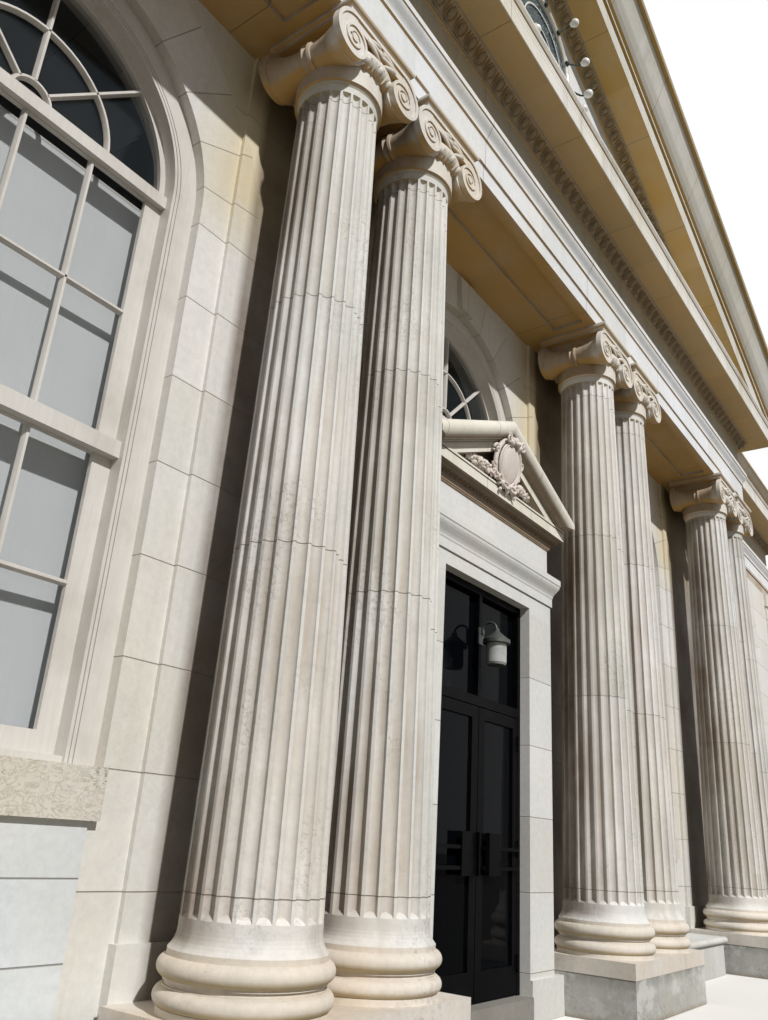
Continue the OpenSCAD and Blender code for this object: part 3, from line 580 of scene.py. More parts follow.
# %% The stones of the building
slab_joints = beam_joints(BAY / 2, 1.088)
stone("wall_marble", "DCDAD6", "CBCBC7", "D9CFBC", "8A7E6B", (0.45, 0.4, 0.3, 0.15, 0.15),
      wall_joints, "8C8272", painted_shade_behind_columns)
stone("column_marble", "DFDEDB", "BDBEBA", "D3C7BA", "8B8171", (0.65, 0.5, 0.4, 0.35, 0.6),
      drum_joints, tint=shaft_shade_and_dust)
stone("base_marble", "DBD3C8", "C0BBB0", "D3C1A8", "8A7A60", (0.7, 0.45, 0.3, 0.2, 0.5), tint=shaft_shade_and_dust)
stone("capital_marble", "DDD8D0", "C3BFB6", "D0C0A0", "7A6848", (0.5, 0.5, 0.2, 0.3, 0.4),
      tint=shade_and_dust_behind_fronts)
stone("carved_marble", "DED4CC", "CBC3BA", "D9C5B4", "836F5A", (0.5, 0.5, 0.1, 0.25, 0.3))
stone("door_marble", "D7D6D2", "C5C8C8", "D0C8B7", "86795F", (0.45, 0.3, 0.2, 0.12, 0.12),
      jamb_joints, "8B8578")
stone("door_cornice", "E2DDD2", "CFCDC2", "D8CBAE", "86795F", (0.4, 0.4, 0.2, 0.15, 0.15),
      beam_joints(0.81, 0.3), "7C7462", door_cornice_shade_and_stains)
stone("beam_marble", "E2E4E7", "CED2D5", "DAD4C4", "8B7F66", (0.4, 0.3, 0.25, 0.12, 0.1),
      slab_joints, tint=shade_and_dust_behind_fronts)
# The frieze's stone is darker than the beam's, as painted shade from the cornice over it.
stone("frieze_marble", "B3AD9C", "9B978A", "B09F7C", "5B4F3C", (0.5, 0.5, 0.2, 0.25, 0.15), slab_joints)
# On the cornices the grey-brown band on the bed moulding over the frieze is painted shade; on the raking
# cornice so are the band under its corona and the dark line between its fascia and crown.
stone("cornice_marble", "E0DDD7", "C9C8C1", "D4C6A6", "7C6D4E", (0.45, 0.4, 0.2, 0.3, 0.15),
      beam_joints(1.45), tint=banded(over_frieze, [
          (-0.01, 0.148, "847461", 0.75), (0.15, 0.17, "2E2A24", 0.85),
          (0.33, 0.338, "8F8B84", 0.8), (0.38, 0.388, "8F8B84", 0.8)], "C8A568"))
stone("rake_marble", "D0CEC7", "BAB9B2", "C6BB9F", "7C6D4E", (0.45, 0.4, 0.2, 0.25, 0.15),
      beam_joints(1.3, 0.4), tint=banded(over_rake, [
          (-0.17, -0.002, "8C8470", 0.75), (0.268, 0.29, "3B352C", 0.8), (0.335, 0.35, "A8A494", 0.7),
          (0.35, 0.5, "A9A598", 0.5), (0.69, 0.7, "5A523F", 0.7), (0.7, 1.0, "7A6B49", 0.8)], "BE9640"))
# The eggs are browner and darker than the cornice stone, as painted shade under the corona; the darker
# carving under the door's cornice is painted shade too.
stone("egg_marble", "97866A", "857D6C", "8F744A", "4C4130", (0.6, 0.6, 0.1, 0.3, 0.4))
stone("dark_carving", "6E5A42", "5E5344", "735836", "3A2F21", (0.6, 0.6, 0.1, 0.3, 0.3))
stone("grey_plinth", "BEBDB8", "93958F", "B0A794", "4E4B41", (0.9, 0.35, 0.5, 0.15, 0.9), tint=plinth_stains)
stone("slab_marble", "D8D1C8", "BDB9B0", "CDBBA2", "7D6F58", (0.6, 0.6, 0.3, 0.2, 0.5))
stone("bench_stone", "CFCFCB", "B4B5B0", "C4BCAB", "6A675C", (0.7, 0.4, 0.3, 0.15, 0.5))
stone("sill_stone", "D6D2CA", "BDBDB6", "CDC2AC", "83775F", (0.6, 0.5, 0.8, 0.2, 0.9),
      tint=crinkled, depth=0.006)
stone("apron_marble", "D6DADC", "BFC5C8", "D3CDC2", "86795F", (0.7, 0.35, 0.5, 0.15, 0.2),
      apron_joints, "6E6A60")
stone("floor_stone", "8E8A82", "74736E", "8A7C68", "4A443B", (0.6, 0.4, 0.3, 0.1, 0.5))


def medallion_stone():
    """Dark blue-green stone with pale specks; its rings and rim are pale, by distance from the middle."""
    net, place = begin_material("medallion")
    x, _, z = net.parts(place)
    reach = net.length(x, z - MEDALLION_Z)
    specks = net.noise(place, 48.0, 3.0, 0.7).span(0.56, 0.6)
    color = net.stain(rgb("1B2C33"), specks, "8FA3A3")
    for ring in (0.43, 0.22):
        color = net.stain(color, between(reach, ring - 0.01, ring + 0.01), "D8D6CE")
    color = net.stain(color, reach.span(0.552, 0.558), "CFCBC0")
    color = net.stain(color, reach.fall(0.084, 0.09), "D8D6CE")
    finish_material(net, color, specks.span(0.0, 1.0, 0.35, 0.6), specks, 0.001)


medallion_stone()
print(len(FINISHES), "stone finishes")

# %% [markdown]
# ## Paint, metal, glass, cloth and roofs
# The window frames are painted timber, pale grey with a warm cast, with brush marks along the wood and
# patches of dust. The door is black metal with a satin sheen. Glass is a thin tinted sheet. The
# blinds are cloth, with threads both ways, and the roofs are laid in rows.


# %% Paint and metal
def painted(name, base, dirt, rough, amount):
    net, place = begin_material(name)
    brush = net.noise(net.stretch(place, (60.0, 60.0, 4.0)), 1.0, 3.0, 0.6)
    fine = net.noise(place, 45.0, 3.0, 0.6)
    worn = net.noise(place, 3.0, 5.0, 0.6).span(0.45, 0.75)
    color = net.shade(net.stain(rgb(base), worn * amount, dirt), brush.span(0.3, 0.7, 0.95, 1.04))
    finish_material(net, color, fine.span(0.3, 0.7, rough - 0.06, rough + 0.1), brush + fine * 0.6, 0.0006)


def metal(name, base, worn, rough):
    net, place = begin_material(name)
    cloud = net.noise(place, 6.0, 5.0, 0.6)
    color = net.stain(rgb(base), cloud.span(0.45, 0.75, 0.0, 0.8), worn)
    finish_material(net, color, cloud.span(0.3, 0.7, rough - 0.07, rough + 0.12),
                    net.noise(place, 180.0, 2.0, 0.5), 0.0003, Specular_IOR_Level=0.035)


painted("painted_timber", "CECAC3", "ABA398", 0.42, 0.45)
metal("black_metal", "08080A", "121213", 0.38)
metal("lantern_metal", "3B423F", "5A5F57", 0.45)


# %% Glass
def thin_glass(name, tint, alpha, rough, gloss):
    """A thin tinted sheet: it lets light and shadow through by its alpha, and mirrors like any gloss."""
    net, place = begin_material(name)
    smear = net.noise(net.stretch(place, (3.0, 3.0, 1.0)), 2.0, 4.0, 0.6)
    wave = net.noise(place, 1.2, 2.0, 0.4)
    finish_material(net, rgb(tint), smear.span(0.45, 0.8, rough, rough + 0.06), wave, 0.0015,
                    Alpha=alpha, IOR=1.5, Specular_IOR_Level=gloss)


def lantern_finish():
    """Dark green-grey paint, and frosted glass at the heights where the lantern's cylinder is of glass."""
    net, place = begin_material("lantern")
    x, y, z = net.parts(place)
    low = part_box("lantern")[0]
    reach = net.length(x, y - (low.y + 0.11))
    glass = between(z, low.z + 0.004, low.z + 0.172, 0.002) * (reach < 0.086)
    cloud = net.noise(place, 9.0, 4.0, 0.6).span(0.4, 0.7)
    paint = net.stain(rgb("2F3533"), cloud, "4A4F49")
    color = net.mix(glass, paint, net.stain(rgb("A9AAA8"), cloud, "93948F"))
    finish_material(net, color, glass.span(0.0, 1.0, 0.45, 0.3), cloud, 0.0004)


def opal_glass():
    net, place = begin_material("opal_glass")
    cloud = net.noise(place, 12.0, 3.0, 0.5)
    dust = cloud.span(0.45, 0.75, 0.0, 0.4)
    color = net.stain(rgb("E9E8E3"), dust, "C9C4B6")
    finish_material(net, color, dust.span(0.0, 0.4, 0.2, 0.4), cloud, 0.0002, Coat_Weight=0.4)


thin_glass("window_glass", "3D464C", 0.14, 0.03, 0.5)
thin_glass("door_glass", "05070A", 0.93, 0.02, 0.035)
lantern_finish()
opal_glass()


# %% Cloth and roofs
def blind_cloth():
    """Off-white blind cloth: fine slubs along both ways of the weave, and soft grey marks."""
    net, place = begin_material("blind_cloth")
    weft = net.noise(net.stretch(place, (3.0, 3.0, 260.0)), 1.0, 2.0, 0.6)
    warp = net.noise(net.stretch(place, (260.0, 260.0, 3.0)), 1.0, 2.0, 0.6)
    weave = weft + warp
    marks = net.noise(place, 0.9, 4.0, 0.6).span(0.45, 0.75)
    color = net.shade(net.stain(rgb("DFE3E4"), marks * 0.35, "CBD0D0"), weave.span(0.7, 1.3, 0.94, 1.04))
    finish_material(net, color, 0.85, weave, 0.0004, Sheen_Weight=0.15)


def roofing(name, base, dirt, course, width):
    """Slates or sheets in rows that climb with height, each with a tone of its own."""
    net, place = begin_material(name)
    x, y, _ = net.parts(place)
    rows = abs(x) / course
    cells = y / width + rows.floor() * 0.5
    joint = net.math("MINIMUM", rows.fold(0.5) * course, cells.fold(0.5) * width).fall(0.002, 0.007)
    tone = net.random(rows.floor() * 9.7 + cells.floor())
    color = net.stain(rgb(base), net.noise(place, 2.0, 5.0, 0.6).span(0.4, 0.7, 0.0, 0.7), dirt)
    color = net.stain(net.shade(color, tone.span(0.0, 1.0, 0.78, 1.15)), joint, "1E1E1E")
    height = net.noise(place, 30.0, 4.0) * 0.4 - joint
    finish_material(net, color, tone.span(0.0, 1.0, 0.55, 0.75), height, 0.004)


blind_cloth()
roofing("roof_slate", "5B5F63", "6B6558", 0.25, 0.3)
roofing("roof_sheet", "8B8C88", "77705F", 1.1, 2.4)
print(sorted(FINISHES))

# %% Give every solid form its finish
NODES_BY_FINISH = {
    "wall_marble": """wall_pilasters corner_antae front_wall_left front_wall_right front_wall_arch
                      side_wall_left side_wall_right back_wall keystones""",
    "column_marble": "column_shafts",
    "base_marble": "column_bases",
    "capital_marble": "column_capitals",
    "door_marble": "portal_jambs portal_head",
    "door_cornice": "portal_pediment",
    "beam_marble": "portico_architrave tympanum wing_architrave back_gable",
    "frieze_marble": "portico_frieze wing_frieze",
    "cornice_marble": "portico_cornice eaves_crowns wing_cornice roof_kerbs",
    "rake_marble": "raking_cornice",
    "grey_plinth": "plinth_blocks",
    "slab_marble": "plinth_slabs",
    "bench_stone": "bench_blocks",
    "sill_stone": "window_sills",
    "apron_marble": "window_aprons",
    "floor_stone": "floor_slab door_step",
    "painted_timber": "front_window_frames side_window_frames back_window_frames",
    "black_metal": "door_frame left_leaf right_leaf",
    "window_glass": "window_glass",
    "door_glass": "transom_glass left_leaf_glass right_leaf_glass",
    "lantern": "lantern",
    "roof_slate": "main_roof",
    "roof_sheet": "flat_roof",
}
finish_of = {name: finish for finish, names in NODES_BY_FINISH.items() for name in names.split()}
for name, thing in frame["nodes"].items():
    finish = FINISHES[finish_of[name]]
    if not thing.material_slots:
        thing.data.materials.append(finish)
    for slot in thing.material_slots:
        slot.material = finish
print(len(frame["nodes"]), "solid forms finished")

# %% [markdown]
# ## Making new pieces
# Every piece below is worked out with numpy as a whole array of points, because that is quick and the
# formula stays in sight. A shape here is a pair: its points, and lists of faces that name the points by
# number. Three kinds of surface are enough for this building: a section carried along a line, a tube
# round a curve, and a round boss. A fourth helper copies a small shape hundreds of times.


# %% Surfaces from arrays
def grid_faces(rows, cols, wrap_rows=False, wrap_cols=False):
    """Quads of a grid whose point (r, c) has number r * cols + c; a wrapped side joins end to start."""
    r = np.arange(rows if wrap_rows else rows - 1)[:, None]
    c = np.arange(cols if wrap_cols else cols - 1)[None, :]
    r2, c2 = (r + 1) % rows, (c + 1) % cols
    corners = np.broadcast_arrays(r * cols + c, r * cols + c2, r2 * cols + c2, r2 * cols + c)
    return np.stack(corners, -1).reshape(-1, 4)


def unit(v):
    return v / np.maximum(np.linalg.norm(v, axis=-1, keepdims=True), 1e-12)


def ends(rings, sides):
    """The two faces that close a tube of so many rings, each with so many sides."""
    return [np.arange(sides)[None, ::-1], np.arange(sides)[None] + (rings - 1) * sides]


def sweep(path, section, closed=False):
    """Point (i, k) = path i + section[k, 0] times the normal there, at depth section[k, 1].
    The path lies in the wall's plane. At a corner the normal halves the angle and grows by 1 + cosine."""
    path, section = np.asarray(path, float), np.asarray(section, float)
    if closed:
        step = unit(np.roll(path, -1, 0) - path)
        before = np.roll(step, 1, 0)
    else:
        step = unit(np.diff(path, axis=0))
        before, step = np.vstack([step[:1], step]), np.vstack([step, step[-1:]])
    both = before + step
    normal = np.stack([-both[:, 1], both[:, 0]], -1) / (1 + (before * step).sum(-1, keepdims=True))
    flat = path[:, None] + section[None, :, :1] * normal[:, None]
    depth = np.broadcast_to(section[None, :, 1:], flat.shape[:2] + (1,))
    points = np.concatenate([flat[..., :1], depth, flat[..., 1:]], -1).reshape(-1, 3)
    n, k = len(path), len(section)
    return points, [grid_faces(n, k, closed, True)] + ([] if closed else ends(n, k))


def tube(path, radius, sides=8, closed=False, flat=1.0):
    """Point (i, k) = path i + radius i * (cos of angle k * across + flat * sin of angle k * out), where
    across and out stand square to the path, and out is as near as can be to the way off the wall."""
    path = np.asarray(path, float)
    along = unit(np.roll(path, -1, 0) - np.roll(path, 1, 0) if closed else np.gradient(path, axis=0))
    out = unit(np.array([0.001, -1.0, 0.002]) - along * (along @ np.array([0.001, -1.0, 0.002]))[:, None])
    across = np.cross(along, out)
    turn = np.linspace(0, 2 * math.pi, sides, endpoint=False)[None, :, None]
    size = np.broadcast_to(radius, len(path))[:, None, None]
    points = path[:, None] + size * (np.cos(turn) * across[:, None] + flat * np.sin(turn) * out[:, None])
    rings = grid_faces(len(path), sides, closed, True)
    return points.reshape(-1, 3), [rings] + ([] if closed else ends(len(path), sides))


def boss(width, length, height, rings=3, sides=8, point=0.0):
    """Half of an egg lying on the wall, its tip towards -Y: ring r has radius sine, and height cosine, of
    its angle. point draws the lower end out, by that share of the length, as on a leaf."""
    rise = np.linspace(0, math.pi / 2, rings + 1)[1:][:, None]
    turn = np.linspace(0, 2 * math.pi, sides, endpoint=False)[None, :]
    x = 0.5 * width * np.sin(rise) * np.cos(turn)
    z = 0.5 * length * np.sin(rise) * np.sin(turn) * (1 + point * (np.sin(turn) < 0) * -np.sin(turn))
    y = -height * np.cos(rise) + 0 * turn
    points = np.vstack([[[0.0, -height, 0.0]], np.stack([x, y, z], -1).reshape(-1, 3)])
    k = np.arange(sides)
    tip = np.stack([np.zeros(sides, int), 1 + k, 1 + (k + 1) % sides], -1)
    return points, [tip, grid_faces(rings, sides, False, True) + 1, (1 + (rings - 1) * sides + k)[None]]


def lathe(profile, sides=24):
    """Point (i, k) = (radius i * cos of angle k, height i, radius i * sin of angle k), with closed ends."""
    profile = np.asarray(profile, float)
    turn = np.linspace(0, 2 * math.pi, sides, endpoint=False)[None, :]
    radius, height = profile[:, :1], profile[:, 1:]
    points = np.stack([radius * np.cos(turn), height + 0 * turn, radius * np.sin(turn)], -1)
    return points.reshape(-1, 3), [grid_faces(len(profile), sides, False, True)] + ends(len(profile), sides)


def repeat(shape, frames):
    """One copy of a shape for each 4 x 4 frame: every point is turned by it and moved to its origin."""
    points, faces = shape
    frames = np.asarray(frames, float)
    placed = np.einsum("nij,pj->npi", frames[:, :3, :3], points) + frames[:, None, :3, 3]
    first = np.arange(len(frames))[:, None, None] * len(points)
    return placed.reshape(-1, 3), [(f[None] + first).reshape(-1, f.shape[-1]) for f in faces]


def group(shapes):
    """Several shapes as one."""
    first = np.cumsum([0] + [len(p) for p, _ in shapes[:-1]])
    return np.vstack([p for p, _ in shapes]), [f + n for n, (_, sets) in zip(first, shapes) for f in sets]


def moved(shape, by):
    return shape[0] + np.asarray(by, float), shape[1]


def turned(shape, axis, angle):
    """Turned by an angle in radians about X (0), Y (1) or Z (2), anticlockwise as seen from its end."""
    matrix = np.eye(3)
    a, b = (axis + 1) % 3, (axis + 2) % 3
    matrix[[a, a, b, b], [a, b, a, b]] = math.cos(angle), -math.sin(angle), math.sin(angle), math.cos(angle)
    return shape[0] @ matrix.T, shape[1]


def frames_at(points, right, out, up):
    """4 x 4 frames at the points; a shape's X goes right, its -Y goes out, and its Z goes up."""
    points = np.asarray(points, float)
    frames = np.tile(np.eye(4), (len(points), 1, 1))
    for column, way in enumerate((right, -np.asarray(out, float), up)):
        frames[:, :3, column] = way
    frames[:, :3, 3] = points
    return frames


def build(name, shapes, finish, body="building", sharp=38.0):
    """Makes the mesh, turns its faces outwards, smooths it except at sharp edges, and rides it on a body."""
    points, sets = group(shapes)
    mesh = bpy.data.meshes.new(name)
    mesh.from_pydata(points.tolist(), [], [row for f in sets for row in f.tolist()])
    work = bmesh.new()
    work.from_mesh(mesh)
    bmesh.ops.recalc_face_normals(work, faces=work.faces)
    work.to_mesh(mesh)
    work.free()
    mesh.shade_smooth()
    mesh.set_sharp_from_angle(angle=math.radians(sharp))
    mesh.materials.append(FINISHES[finish])
    piece = bpy.data.objects.new(name, mesh)
    bpy.context.scene.collection.objects.link(piece)
    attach(piece, body)
    print(name, len(mesh.polygons), "faces")
    return piece


# %% [markdown]
# ## Windows
# Each window has two sashes of eight panes and a half-round fanlight of bars and arcs. The solid model
# closes a window with one sheet of glass, so the bars lie in front of it here. A bar is a small moulded
# section, wide at the glass and narrow in front, swept along straight lines and arcs.

# %% Where the windows are
FRONT_X = (-WING_WINDOW_X, -BAY, BAY, WING_WINDOW_X)
SIDE_Y = (DEPTH / 2 - BAY, DEPTH / 2, DEPTH / 2 + BAY)
BACK_X = (-WING_WINDOW_X, -BAY, 0.0, BAY, WING_WINDOW_X)
WINDOWS = [(0, x) for x in FRONT_X] + [(2, x) for x in BACK_X]
WINDOWS += [(side, y) for side in (1, 3) for y in SIDE_Y]


def on_wall(shape, side, at):
    """Turned about Z and moved to a wall. Sides 0 to 3 are the front, the right, the back and the left."""
    x, y = ((at, 0.0), (WING, at), (at, DEPTH), (-WING, at))[side]
    return moved(turned(shape, 2, side * math.pi / 2), (x, y + WALL_Y, 0.0))


print(len(WINDOWS), "windows and a fanlight over the door")

# %% Window bars and fanlights
BAR = [(-0.017, 0.2), (-0.017, 0.189), (-0.007, 0.167), (0.007, 0.167), (0.017, 0.189), (0.017, 0.2)]
# Half the clear width, and the width of a pane; heights of the frame's foot, of the meeting rails, of the
# cross bars and of the head; then the middle of the fanlight, and the radii of its rings and its edge.
LIGHT_X, PANE_X = 0.826, 0.433
FRAME_FOOT = 0.148
MEETING_Z = (3.085, 3.195)
CROSS_Z = (2.35, 4.0)
HEAD_Z = 4.823
FAN_Z = SPRING_Z + 0.004
FAN_R = (0.12, 0.51, 0.905)


def arc_bar(radius, steps):
    """Bar on the upper half of a circle round the middle of the springing line."""
    turn = np.linspace(0, math.pi, steps)
    return sweep(np.stack([radius * np.cos(turn), FAN_Z + radius * np.sin(turn)], -1), BAR)


def fanlight():
    rays = [sweep([(r * math.cos(a), FAN_Z + r * math.sin(a)) for r in (FAN_R[0], FAN_R[2])], BAR)
            for a in np.radians((45.0, 90.0, 135.0))]
    return rays + [arc_bar(FAN_R[0], 14), arc_bar(FAN_R[1], 28)]


def sashes(foot):
    """Three uprights and one level bar in each of two sashes, or three uprights alone over the door."""
    ranges = [(foot, HEAD_Z, None)]
    if foot < MEETING_Z[0]:
        ranges = [(foot, MEETING_Z[0], CROSS_Z[0]), (MEETING_Z[1], HEAD_Z, CROSS_Z[1])]
    bars = [sweep([(x, low), (x, high)], BAR) for low, high, _ in ranges for x in (-PANE_X, 0.0, PANE_X)]
    return bars + [sweep([(-LIGHT_X, z), (LIGHT_X, z)], BAR) for _, _, z in ranges if z]


whole_window = group(sashes(SILL_Z + FRAME_FOOT) + fanlight())
over_door = group(sashes(DOOR_TOP_Z + FRAME_FOOT) + fanlight())
build("window_bars", [on_wall(whole_window, *place) for place in WINDOWS] + [on_wall(over_door, 0, 0.0)],
      "painted_timber", sharp=25.0)

# %% [markdown]
# ## Blinds
# Pale roller blinds hang behind the sashes and leave the fanlights dark. Each is a sheet of cloth that
# hangs nearly flat from a wooden roller, with slow waves from side to side that grow towards its foot.

# %% Rollers and blinds
BLIND_Y, BLIND_W = 0.315, 2.02
BLIND_TOP, BLIND_FOOT = 4.842, 1.56


def roller():
    """A turned wooden roller with a small plate at each end, lying along X behind the transom."""
    pin, rod_r = 0.012, 0.021
    profile = [(pin, -1.10), (pin, -1.045), (rod_r, -1.045), (rod_r, 1.045), (pin, 1.045), (pin, 1.10)]
    points, faces = lathe(profile, 12)
    rod = points[:, [1, 0, 2]], faces
    plate = boss(0.07, 0.09, 0.009, 2, 12)
    sides = [(plate[0][:, [1, 0, 2]] * (s, 1, 1) + (s * 1.115, 0, 0), plate[1]) for s in (1, -1)]
    return moved(group([rod] + sides), (0, BLIND_Y + 0.022, BLIND_TOP + 0.012))


def blind_sheet(seed, rows=26, cols=44):
    """y = depth + t * waves in x, where t runs from 0 at the roller to 1 at the foot: at most 5 mm."""
    x = np.linspace(-BLIND_W / 2, BLIND_W / 2, cols)[None, :]
    t = np.linspace(0, 1, rows)[:, None]
    wave = 0.0035 * np.sin(3.1 * x + seed) + 0.0015 * np.sin(7.3 * x + 2.1 * seed)
    y = BLIND_Y + t * wave
    z = BLIND_TOP - t * (BLIND_TOP - BLIND_FOOT) + 0 * x
    points = np.stack([x + 0 * t, y, z], -1).reshape(-1, 3)
    return points, [grid_faces(rows, cols)]


rollers = build("blind_rollers", [on_wall(roller(), *place) for place in WINDOWS], "painted_timber")
for number, place in enumerate(WINDOWS):
    blind = build("blind_%02d" % (number + 1), [on_wall(blind_sheet(number + 1.0), *place)], "blind_cloth")

# %% [markdown]
# ## Egg and dart
# The ogee under each cornice is carved with egg and dart: an egg in its shell, then a thin dart, and so
# on. One unit is enough. It is copied along every run of the moulding, at a pitch that divides the run
# evenly, tilted to the slope that the moulding has there.

# %% One unit and its runs
PITCH = 0.166


def egg_unit():
    """An egg of half-egg form, the rim of its shell as an open ring round it, and a dart to its right."""
    egg = boss(0.07, 0.118, 0.034, 3, 8, 0.12)
    turn = np.radians(np.linspace(140, 400, 9))
    rim = tube(np.stack([0.052 * np.cos(turn), 0.0 * turn, 0.004 + 0.074 * np.sin(turn)], -1), 0.0085, 4)
    dart = boss(0.017, 0.125, 0.022, 2, 4, 0.25)
    return group([egg, rim, moved(dart, (PITCH / 2, 0, 0))])


def run_frames(start, end, out, up, pitch=PITCH):
    """Frames at equal steps from start to end, about a pitch apart, half a step in from both ends."""
    start, end = np.asarray(start, float), np.asarray(end, float)
    count = max(1, round(float(np.linalg.norm(end - start)) / pitch))
    share = (np.arange(count)[:, None] + 0.5) / count
    out, up = unit(np.asarray(out, float)), unit(np.asarray(up, float))
    return frames_at(start + share * (end - start), np.cross(up, out) * -1.0, out, up)


MID_OUT, MID_Z = 0.093, BED_Z + 0.078
RAKE_FOOT = np.array([RAKE_FOOT_X, 0.0, RAKE_FOOT_Z])


def runs_round(corners, z, tilt, pitch=PITCH):
    """Frames on the level lines from corner to corner. Out is to the right of each line and leans down."""
    frames = []
    for start, end in zip(corners[:-1], corners[1:]):
        way = unit(np.subtract(end, start))
        side = np.array([way[1], -way[0], 0.0])
        out, up = side - (0, 0, tilt), side * tilt + (0, 0, 1.0)
        frames.append(run_frames((*start, z), (*end, z), out, up, pitch))
    return np.vstack(frames)


def level_runs():
    """All the way round the building: portico, right wing, right side, back, left side and left wing."""
    x, end = PORTICO_X + MID_OUT, WING + MID_OUT
    front, wall, back = WALL_Y - PORTICO_OUT - MID_OUT, WALL_Y - MID_OUT, WALL_Y + DEPTH + MID_OUT
    corners = [(-x, front), (x, front), (x, wall), (end, wall), (end, back), (-end, back), (-end, wall),
               (-x, wall), (-x, front)]
    return runs_round(corners, MID_Z, 0.9)


def raking_runs():
    """Up both slopes: the moulding's place is measured square to the slope, 0.072 m under the corona."""
    frames = []
    for s in (1, -1):
        climb = np.array([-s * math.cos(RAKE), 0.0, math.sin(RAKE)])
        square = np.array([s * math.sin(RAKE), 0.0, math.cos(RAKE)])
        foot = RAKE_FOOT * (s, 1, 1) - 0.072 * square + (0, WALL_Y - PORTICO_OUT - MID_OUT, 0)
        front = np.array([0.0, -1.0, 0.0])
        frames.append(run_frames(foot + 1.30 * climb, foot + (RAKE_FOOT[0] / math.cos(RAKE) - 0.02) * climb,
                                 front - 0.9 * square, 0.9 * front + square))
    return np.vstack(frames)


def under_door_cornice():
    """The same unit made smaller, along the front and ends of the door's level cornice."""
    out, small = 0.056, 0.4
    x, front, wall = 1.08 + out, WALL_Y - 0.34 - out, WALL_Y - 0.03
    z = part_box("portal_pediment")[0].z + 0.066
    frames = runs_round([(-x, wall), (-x, front), (x, front), (x, wall)], z, 0.85, 0.06)
    frames[:, :3, :3] *= small
    return frames


UNIT = egg_unit()
build("cornice_eggs", [repeat(UNIT, level_runs())], "egg_marble", sharp=50.0)
build("gable_eggs", [repeat(UNIT, raking_runs())], "egg_marble", sharp=50.0)
build("door_cornice_eggs", [repeat(UNIT, under_door_cornice())], "dark_carving", sharp=50.0)

# %% [markdown]
# ## Carving on the capitals
# A ring of eggs runs round the echinus of each capital, between the volutes, and a small split leaf
# springs from each volute towards the middle. Both are copied to all eight columns.

# %% Capital carving
COLUMN_X = [pair * BAY + s for pair in (-1.5, -0.5, 0.5, 1.5) for s in (-PAIR_HALF, PAIR_HALF)]
COLUMN_Y = WALL_Y - COLUMN_OUT


def capital_eggs():
    """Eighteen units round the echinus, each frame turned by its angle, its top leaning outwards."""
    turn = np.radians(np.arange(18) * 20.0 + 10.0)
    out = np.stack([np.cos(turn), np.sin(turn), 0 * turn], -1)
    frames = []
    for radial in out:
        place = radial * 0.343 + (0, 0, SHAFT_TOP + 0.187)
        lean = unit(radial - (0, 0, 0.75))
        up = unit(0.75 * radial + (0, 0, 1.0))
        frame = frames_at([place], -np.cross(up, lean), lean, up)[0]
        frame[:3, :3] *= (0.68, 0.8, 0.68)
        frames.append(frame)
    return repeat(UNIT, frames)


def capital_leaves():
    """Three pointed lobes that fan out from each volute's eye line towards the middle of the face."""
    lobes = []
    for s in (1, -1):
        for angle, length in ((62, 0.15), (88, 0.17), (114, 0.14)):
            lobe = moved(boss(0.045, length, 0.02, 3, 8, 0.5), (0, 0, -0.4 * length))
            lobe = turned(lobe, 1, math.radians(angle) * s)
            lobes.append(moved(lobe, (s * 0.155, -0.352, SHAFT_TOP + 0.325)))
    front = group(lobes)
    back = front[0] * (-1, -1, 1), front[1]
    return group([front, back])


carving = group([capital_eggs(), capital_leaves()])
build("capital_carving", [moved(carving, (x, COLUMN_Y, 0)) for x in COLUMN_X], "capital_marble",
      sharp=50.0)

# %% [markdown]
# ## Shield over the door
# A blank oval shield leans out of the little pediment, in a rolled frame with scrolls, with a shell on
# top and a swag of fruit and leaves to each side. The swags are leaves and berries of several sizes set
# round a sagging line. A seeded random number places them, so that they come out the same every time.

# %% Shield, scrolls and swags
SHIELD = np.array([0.0, -0.515, 4.304])
LEAN = 0.2
KNOT_Z = 4.095
# Each scroll's place across and up, its size, its way round, its start in half turns, and its depth.
SCROLLS = ((0.125, 0.205, 0.045, 1, 0.5, -0.012), (0.15, -0.175, 0.042, -1, -0.5, -0.012),
           (0.052, -0.2, 0.034, 1, -0.5, -0.012), (0.215, 0.07, 0.045, 1, 1.0, 0.03),
           (0.2, -0.055, 0.04, -1, 1.0, 0.03))


def leaned(shape):
    """Leans a shape on the wall as the shield leans, its foot further out, and moves it to the shield."""
    return moved(turned(shape, 0, LEAN), SHIELD + (0, WALL_Y, 0))


def oval(rx, rz, start=0.0, end=360.0, steps=40, y=0.0):
    turn = np.radians(np.linspace(start, end, steps, endpoint=end - start < 360))
    return np.stack([rx * np.cos(turn), y + 0 * turn, rz * np.sin(turn)], -1)


def scroll(x, z, size, side, start, y):
    """A tube that thins along a spiral of one and a half turns, whose radius falls to a tenth of size."""
    t = np.linspace(0, 1, 26)
    angle = start + side * t * 3 * math.pi
    radius = size * (1 - 0.9 * t)
    path = np.stack([x + radius * np.cos(angle), y - 0.02 * t, z + radius * np.sin(angle)], -1)
    return tube(path, 0.3 * size * (1 - 0.5 * t), 6)


